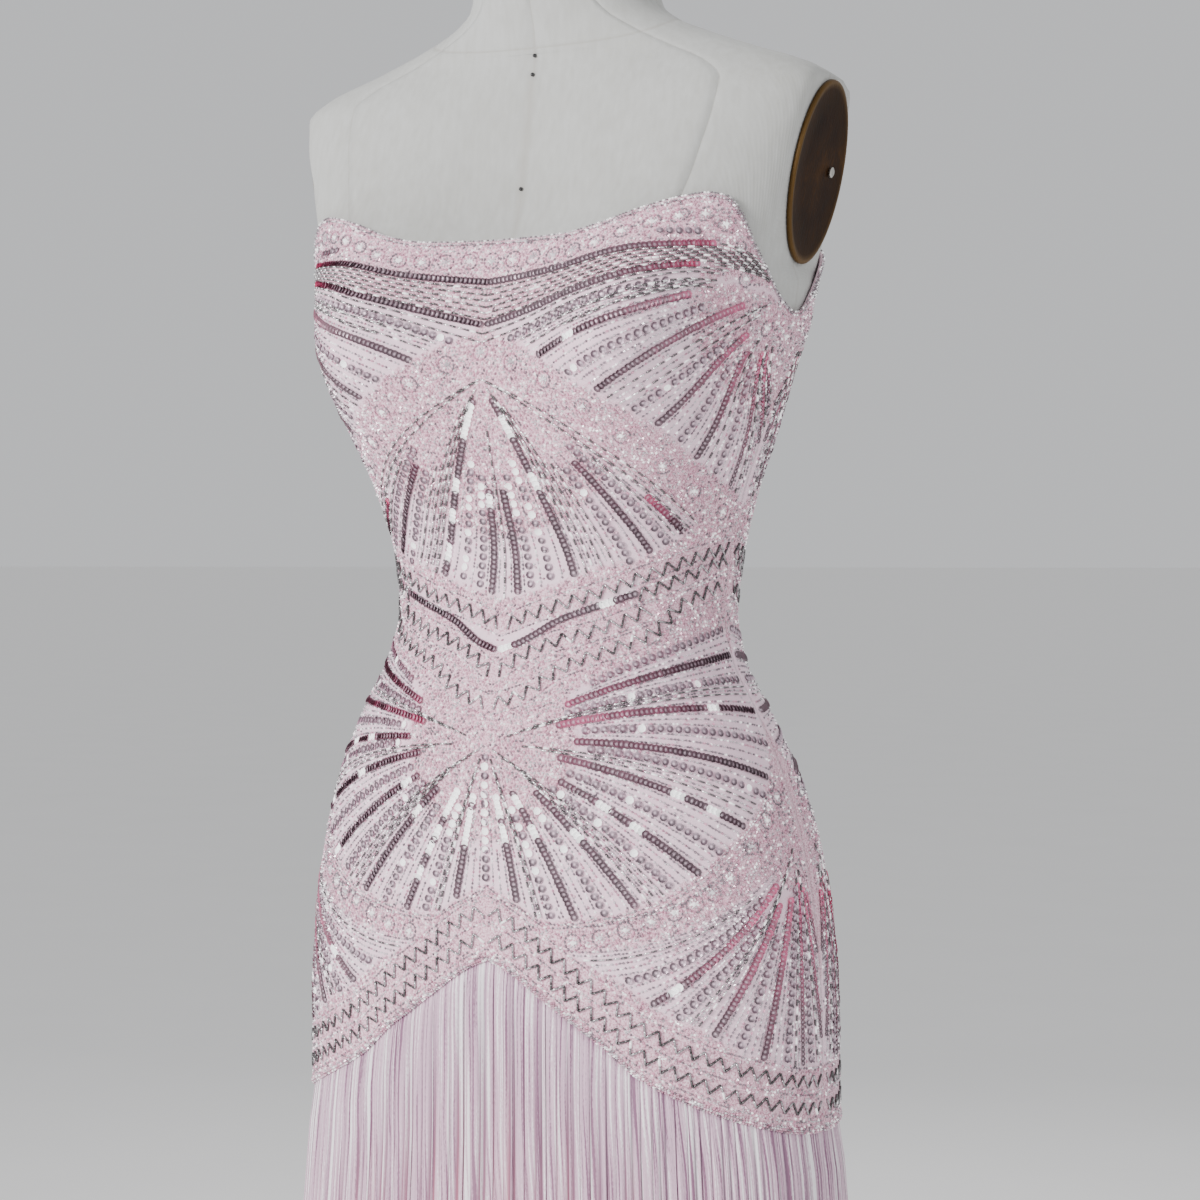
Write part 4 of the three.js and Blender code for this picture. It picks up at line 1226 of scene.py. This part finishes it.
def bead_finish(name, metallic, roughness, **plain):
    """Glass or foil whose colour is kept on the beads, with a little unevenness in the gloss; beads marked
    as glints are painted white as a painted highlight and glow with a painted light of their own.
    """
    made = Finish(name, **plain)
    speckle = made.noise(0.0007)
    tint = made.attribute("tint", "Color")
    glint = made.attribute("glint")
    made.dress(
        colour=made.mix(0.15 * speckle, made.mix(glint, tint, (1, 1, 1)), paint(255, 246, 250)),
        roughness=roughness + 0.14 * speckle,
        metallic=metallic - metallic * glint,
    )
    # Painted glow: the glint beads give out light, though they are no lamp.
    glint_glow = made.mix(glint, (0, 0, 0), (0.5, 0.5, 0.5))
    made.tree.links.new(glint_glow.socket, made.shader.inputs["Emission Color"])
    made.shader.inputs["Emission Strength"].default_value = 1.0
    return made.material


SHAPES = {
    "sequin": (sequin_points, sequin_faces, sequin_painted_reflection, sequin_colours,
               bead_finish("sequin_foil", 0.35, 0.32, Coat_Weight=0.1)),
    "bugle": (bugle_points, bugle_faces, bugle_painted_shade, bugle_colours,
              bead_finish("cut_glass_bugle", 0.75, 0.14, Coat_Weight=0.4)),
    "seed": (seed_points, seed_faces, seed_painted_light, seed_colours,
             bead_finish("seed_glass", 0.15, 0.18, Coat_Weight=0.6)),
}
RUN = 3
# share of the beads painted as glints, a painted highlight, and size, by value: 0 in rows, 1 sown, 2 picot,
# 3 crystal,
# 4 petal and 5 ring for seeds; 0 pewter, 1 silver, 2 gunmetal and 3 nickel for bugles
BRIGHT_SHARE = {
    "bugle": np.array([0.03, 0.12, 0.0, 0.04]),
    "seed": np.array([0.13, 0.13, 0.13, 0.75, 0.2, 0.0]),
}
SEED_SIZES = np.array([0.95, 1.0, 0.85, 2.1, 0.85, 1.05])
SIDES = {"front": (("front", (1, -1)),), "back": (("back_left", (1,)), ("back_right", (-1,)))}
for quarter, panels in SIDES.items():
    # Each shape brings its painted shade and painted highlight by corner, as dark.
    for kind, (points, faces, dark, colours, material) in SHAPES.items():
        columns = zip(*beads[quarter][kind])
        place, forward, out, value, chance = (np.concatenate(column) for column in columns)
        in_runs = (value < 10) | (value >= 20)
        for panel, mirrors in panels:
            made_points, made_faces, made_tints, made_glints = [], [], [], []
            count = 0
            for mirror in mirrors:
                flip = np.array([mirror, 1, 1])
                amount = len(place)
                lean = draw.normal(0, 0.09, (amount, 2))
                size = draw.uniform(0.93, 1.05, amount)
                if kind == "sequin":
                    lean[:, 0] += np.where(value < 10, 0.24, 0.10)
                    size = np.where(value >= 20, 0.68, 1.0) * size
                elif kind == "seed":
                    size = SEED_SIZES[value.astype(int)] * size
                    lean = draw.normal(0, 0.3, (amount, 2))
                else:
                    lean *= 0.4
                    size = np.where(value >= 2, 1.18, 1.0) * size
                laid = (place * flip, forward * flip, out * flip)
                copied, numbered = copies(points, faces, *laid, size, lean)
                # Painted glints on the sequins: runs of three on the dense and fine rows, single ones on the
                # sparse rows.
                if kind == "sequin":
                    caught = draw.random(amount) < chance / np.where(in_runs, RUN, 1)
                    run = np.convolve(caught & in_runs, np.ones(RUN), "same") > 0
                    bright = np.where(in_runs, run, caught)
                else:
                    bright = draw.random(amount) < BRIGHT_SHARE[kind][value.astype(int)]
                tint = colours(value)[:, None, :]
                # Painted light on every bead: corners with a positive value in dark are paled towards the
                # highlight pink as painted highlight and reflection, and corners with a negative value are
                # darkened as painted shade.
                painted_pale = np.clip(dark, 0, 1)[None, :, None]
                if kind == "sequin":
                    painted_pale = painted_pale + sequin_painted_highlight[None, :, None] * ~in_runs[:, None, None]
                tint = tint + (PAINTED_HIGHLIGHT_PINK - tint) * painted_pale
                tint = tint * (1 + np.clip(dark, -1, 0))[None, :, None]
                made_points.append(copied)
                made_faces.append(numbered + count)
                made_tints.append(np.clip(tint.reshape(-1, 3), 0, 1))
                made_glints.append(np.repeat(bright * 1.0, len(points)))
                count += len(copied)
            tint = np.concatenate(made_tints)
            tint = np.concatenate([tint, np.ones((len(tint), 1))], axis=1)
            sewn = put_mesh(
                f"{kind}_beads_{panel}",
                np.concatenate(made_points),
                triangles=np.concatenate(made_faces),
                material=material,
                values={"tint": tint, "glint": np.concatenate(made_glints)},
                smooth=kind == "bugle",
            )
            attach(sewn, "gown_on_form")


# The skirt: fine crystal pleats of thin lilac-pink satin, set into the seam behind the beaded edge and
# widening to the floor, in a front and a back that are joined at the sides.
SKIRT_SECTIONS = np.array([
    # height, half width, middle to front, middle to back, squareness
    (15, 272, 205, 228, 2.1), (200, 244, 170, 192, 2.12), (400, 214, 136, 158, 2.16),
    (550, 194, 117, 137, 2.2), (640, 184.5, 109, 129, 2.25), (715, 178, 105.2, 124.8, 2.25),
    (750, 175.2, 104.2, 124, 2.25), (810, 174.2, 104.2, 122, 2.25), (860, 171.2, 104.7, 119, 2.25),
])
PLEATS = 88
PLEAT_WIDTH = 0.0062
PER_PLEAT = 8
SKIRT_ROWS = 26
TUCK = 5.0
EASE = 15.0
SKIRT_THICK = 0.45
FOLDS = (7, 11, 2)
# Pleats with the strongest painted bounce light.
STRONG_BOUNCE_PLEATS = (27, 46, 71)


def uneven(number):
    """Size of a pleat against the others, from two sine waves of its number."""
    return 0.6 * np.sin(number * 2.399) + 0.4 * np.sin(number * 0.731 + 1.3)


pleated = Finish("pleated_satin", Sheen_Weight=0.35, Sheen_Roughness=0.3, Anisotropic=0.3)
valley = pleated.attribute("valley")
blush = pleated.attribute("blush")
height = pleated.node("ShaderNodeSeparateXYZ", {}, {0: pleated.here()}, 2)
across = pleated.attribute("across") + 0.012 * pleated.noise(0.16, 1.0)
cloth_place = pleated.node("ShaderNodeCombineXYZ", {}, {0: across, 2: height})
broad = pleated.noise(0.0034, 3.0, cloth_place, (1, 1, 0.010))
thin = pleated.noise(0.0010, 2.0, cloth_place, (1, 1, 0.006))
fine = pleated.noise(0.0006, 2.0, stretch=(1, 1, 0.3))
streak = 0.48 * broad + 0.42 * thin + 0.10 * fine
# Painted light on the pleats: the low end of the streaks is painted shade along thin dark lines, the high
# end a painted highlight along thin white lines, and the middle the satin's own lilac pink.
pleat_tone_and_painted_light = pleated.ramp(
    streak,
    (0.43, paint(136, 96, 122)),
    (0.465, paint(204, 168, 190)),
    (0.53, paint(222, 188, 207)),
    (0.56, paint(255, 249, 253)),
)
# Painted shade in the folds: the valleys of the pleats are darkened towards a mauve grey, reddened where the
# painted bounce light is strong, and the whole pleat is made pinker by that painted bounce light.
fold_shade_tone = pleated.mix(blush, paint(140, 108, 132), paint(206, 92, 104))
low = pleated.grey_ramp(valley, 0.15, 0.80)
pleated.dress(
    colour=pleated.mix(low, pleated.mix(0.55 * blush, pleat_tone_and_painted_light, paint(226, 176, 188)), fold_shade_tone),
    roughness=0.30 + 0.22 * fine + 0.1 * streak,
    height=0.5 * streak + 0.3 * fine,
    depth=0.0005,
)
for name, node, first, last, hung_on in (
    ("pleated_skirt_front", "skirt_front", -90, 90, ["bodice_front"]),
    ("pleated_skirt_back", "skirt_back", 90, 270, ["bodice_back_left", "bodice_back_right"]),
):
    columns = PLEATS * PER_PLEAT
    sample = np.linspace(first, last, 1441)
    x, y = oval_point(SKIRT_SECTIONS, sample, 750 + 0 * sample, 0 * sample)
    along = np.concatenate([[0], np.cumsum(np.hypot(np.diff(x), np.diff(y)))])
    even = np.interp(np.linspace(0, along[-1], columns + 1), along, sample)
    number = np.arange(columns + 1) / PER_PLEAT
    share = np.linspace(0, 1, SKIRT_ROWS + 1)[:, None]
    step = (last - first) / PLEATS
    pleat = np.floor(number).astype(int)
    offside = np.sin(np.pi * (number - pleat))
    drift = 0.17 * np.sin(pleat * 1.7 + 5 * share) + 0.24 * uneven(pleat)
    ends = np.clip(np.minimum(number, PLEATS - number), 0, 1)
    shift = 0.32 * uneven(number * 1.9) + 0.3 * drift * offside
    angle = even[None] + step * shift * ends
    seam_z = lower_edge(angle) + TUCK
    z = 15 + (seam_z - 15) * (1 - (1 - share) ** 1.25)
    below = lower_edge(angle) - z
    full = np.clip(below / EASE, 0, 1)
    full = full * full * (3 - 2 * full)
    in_pleat = number - pleat
    split = 0.5 + 0.14 * uneven(pleat * 1.3)
    first_half = in_pleat < split
    within_half = np.where(first_half, in_pleat / split, (in_pleat - split) / (1 - split))
    ridge = np.abs(np.sin(np.pi * in_pleat)) ** 0.75
    small = np.abs(np.sin(np.pi * within_half)) ** 0.7
    ridge = 0.62 * ridge + 0.38 * small
    depth = smooth([15, 230, 520, 716, 860], [9, 7.5, 5.0, 3.0, 2.6], z)
    swell = smooth([15, 230, 520, 716, 860], [9, 6, 2, 0, 0], z)
    slow = 0.5 + 0.5 * np.sin(0.009 * z + pleat * 2.1)
    depth = depth * (0.78 + 0.22 * uneven(pleat + 88)) * (0.75 + 0.25 * slow)
    waves = np.sin(np.radians(angle) * FOLDS[0]) + np.sin(np.radians(angle) * FOLDS[1] + FOLDS[2])
    drop = depth * (1 - ridge)
    tucked = -3.1 - 0.25 * (1 - ridge)
    outer = tucked * (1 - full) + (swell * waves / 2 - drop) * full
    x, y = oval_point(SKIRT_SECTIONS, angle, z, outer)
    outside = np.stack([x, y, z], -1) / 1000
    x, y = oval_point(SKIRT_SECTIONS, angle, z, outer - SKIRT_THICK)
    within = np.stack([x, y, z], -1) / 1000
    gap = 0.00015 * (-1 if name == "pleated_skirt_front" else 1)
    outside[:, [0, -1], 1] = gap
    within[:, [0, -1], 1] = gap
    points, quads = cloth_wall(outside, within, columns, SKIRT_ROWS)
    # Painted shade: how deep in a fold each point lies, less so right under the beaded edge.
    fold_shade_share = (1 - ridge) * np.ones_like(z) * (0.35 + 0.65 * np.clip(below / 90, 0, 1))
    # Painted bounce light: the satin's own pink light reddens the deep folds, strongest in some pleats and
    # growing down from the beaded edge.
    strong_bounce = np.clip(1.6 * np.sin(pleat * 5.13 + 0.6) * np.sin(pleat * 0.377 + 1.1) - 0.35, 0, 1)
    strong_bounce = np.maximum(strong_bounce, np.isin(pleat, STRONG_BOUNCE_PLEATS) * 1.0)
    bounce_share = (0.25 + 0.75 * strong_bounce)[None] * np.clip((below - 30) / 160, 0, 1)
    values = {
        "across": np.tile((number * PLEAT_WIDTH * np.ones_like(z)).ravel(), 2),
        "valley": np.tile(fold_shade_share.ravel(), 2),
        "blush": np.tile(bounce_share.ravel(), 2),
    }
    skirt = put_mesh(name, points, quads, material=pleated.material, values=values)
    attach(skirt, "gown_on_form")
    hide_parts(node)


# The centre back zip: a coil of nylon teeth on a narrow tape, closed up to the slider, which stays the
# frame's own solid with its pull tab.
TOOTH_STEP = 1.35
ZIP_TOP, ZIP_FOOT = 1268.0, 905.0
tooth_z = np.arange(ZIP_FOOT, ZIP_TOP, TOOTH_STEP)
tooth_side = np.where(np.arange(len(tooth_z)) % 2, 1, -1)
box = np.array([(x, y, z) for x in (-1, 1) for y in (-1, 1) for z in (-1, 1)], float)
box_quads = np.array([(0, 1, 3, 2), (4, 6, 7, 5), (0, 4, 5, 1), (2, 3, 7, 6), (0, 2, 6, 4), (1, 5, 7, 3)])
tooth = box * (0.95, 0.30, 0.42)
tooth_place = on_body(180.0, tooth_z, CLOTH_OUT + 0.15)
tooth_points = tooth_place[:, None] + tooth[None] / 1000
tooth_points[..., 0] += tooth_side[:, None] * 0.35 / 1000
tooth_quads = box_quads[None] + (np.arange(len(tooth_z)) * 8)[:, None, None]
nylon = Finish("zip_nylon")
nylon.dress(
    colour=nylon.mix(nylon.noise(0.002), paint(206, 180, 190), paint(226, 206, 214)),
    roughness=0.35 + 0.15 * nylon.noise(0.001),
)
teeth = put_mesh(
    "zip_teeth",
    tooth_points.reshape(-1, 3),
    tooth_quads.reshape(-1, 4),
    material=nylon.material,
    smooth=False,
)
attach(teeth, "gown_on_form")
zip_steel = metal_finish("zip_steel", (150, 148, 150), (226, 224, 226), 0.20, (1, 1, 0.1))
clothe_node("zip_slider", zip_steel)
clothe_node("zip_pull", zip_steel)


# The stand: a turned steel pole in the boss of a heavy painted iron base, both the frame's own solids.
clothe_node("stand_pole", metal_finish("pole_steel", (142, 143, 146), (206, 207, 210), 0.26, (1, 1, 0.02)))
iron = Finish("dark_iron")
casting = iron.noise(0.0018, 4.0)
dust = iron.noise(0.06, 4.0)
iron.dress(
    colour=iron.mix(0.5 * dust + 0.3 * casting, paint(34, 33, 34), paint(74, 72, 72)),
    roughness=0.48 + 0.25 * casting,
    metallic=0.4,
    height=casting,
    depth=0.0004,
)
clothe_node("stand_base", iron.material)
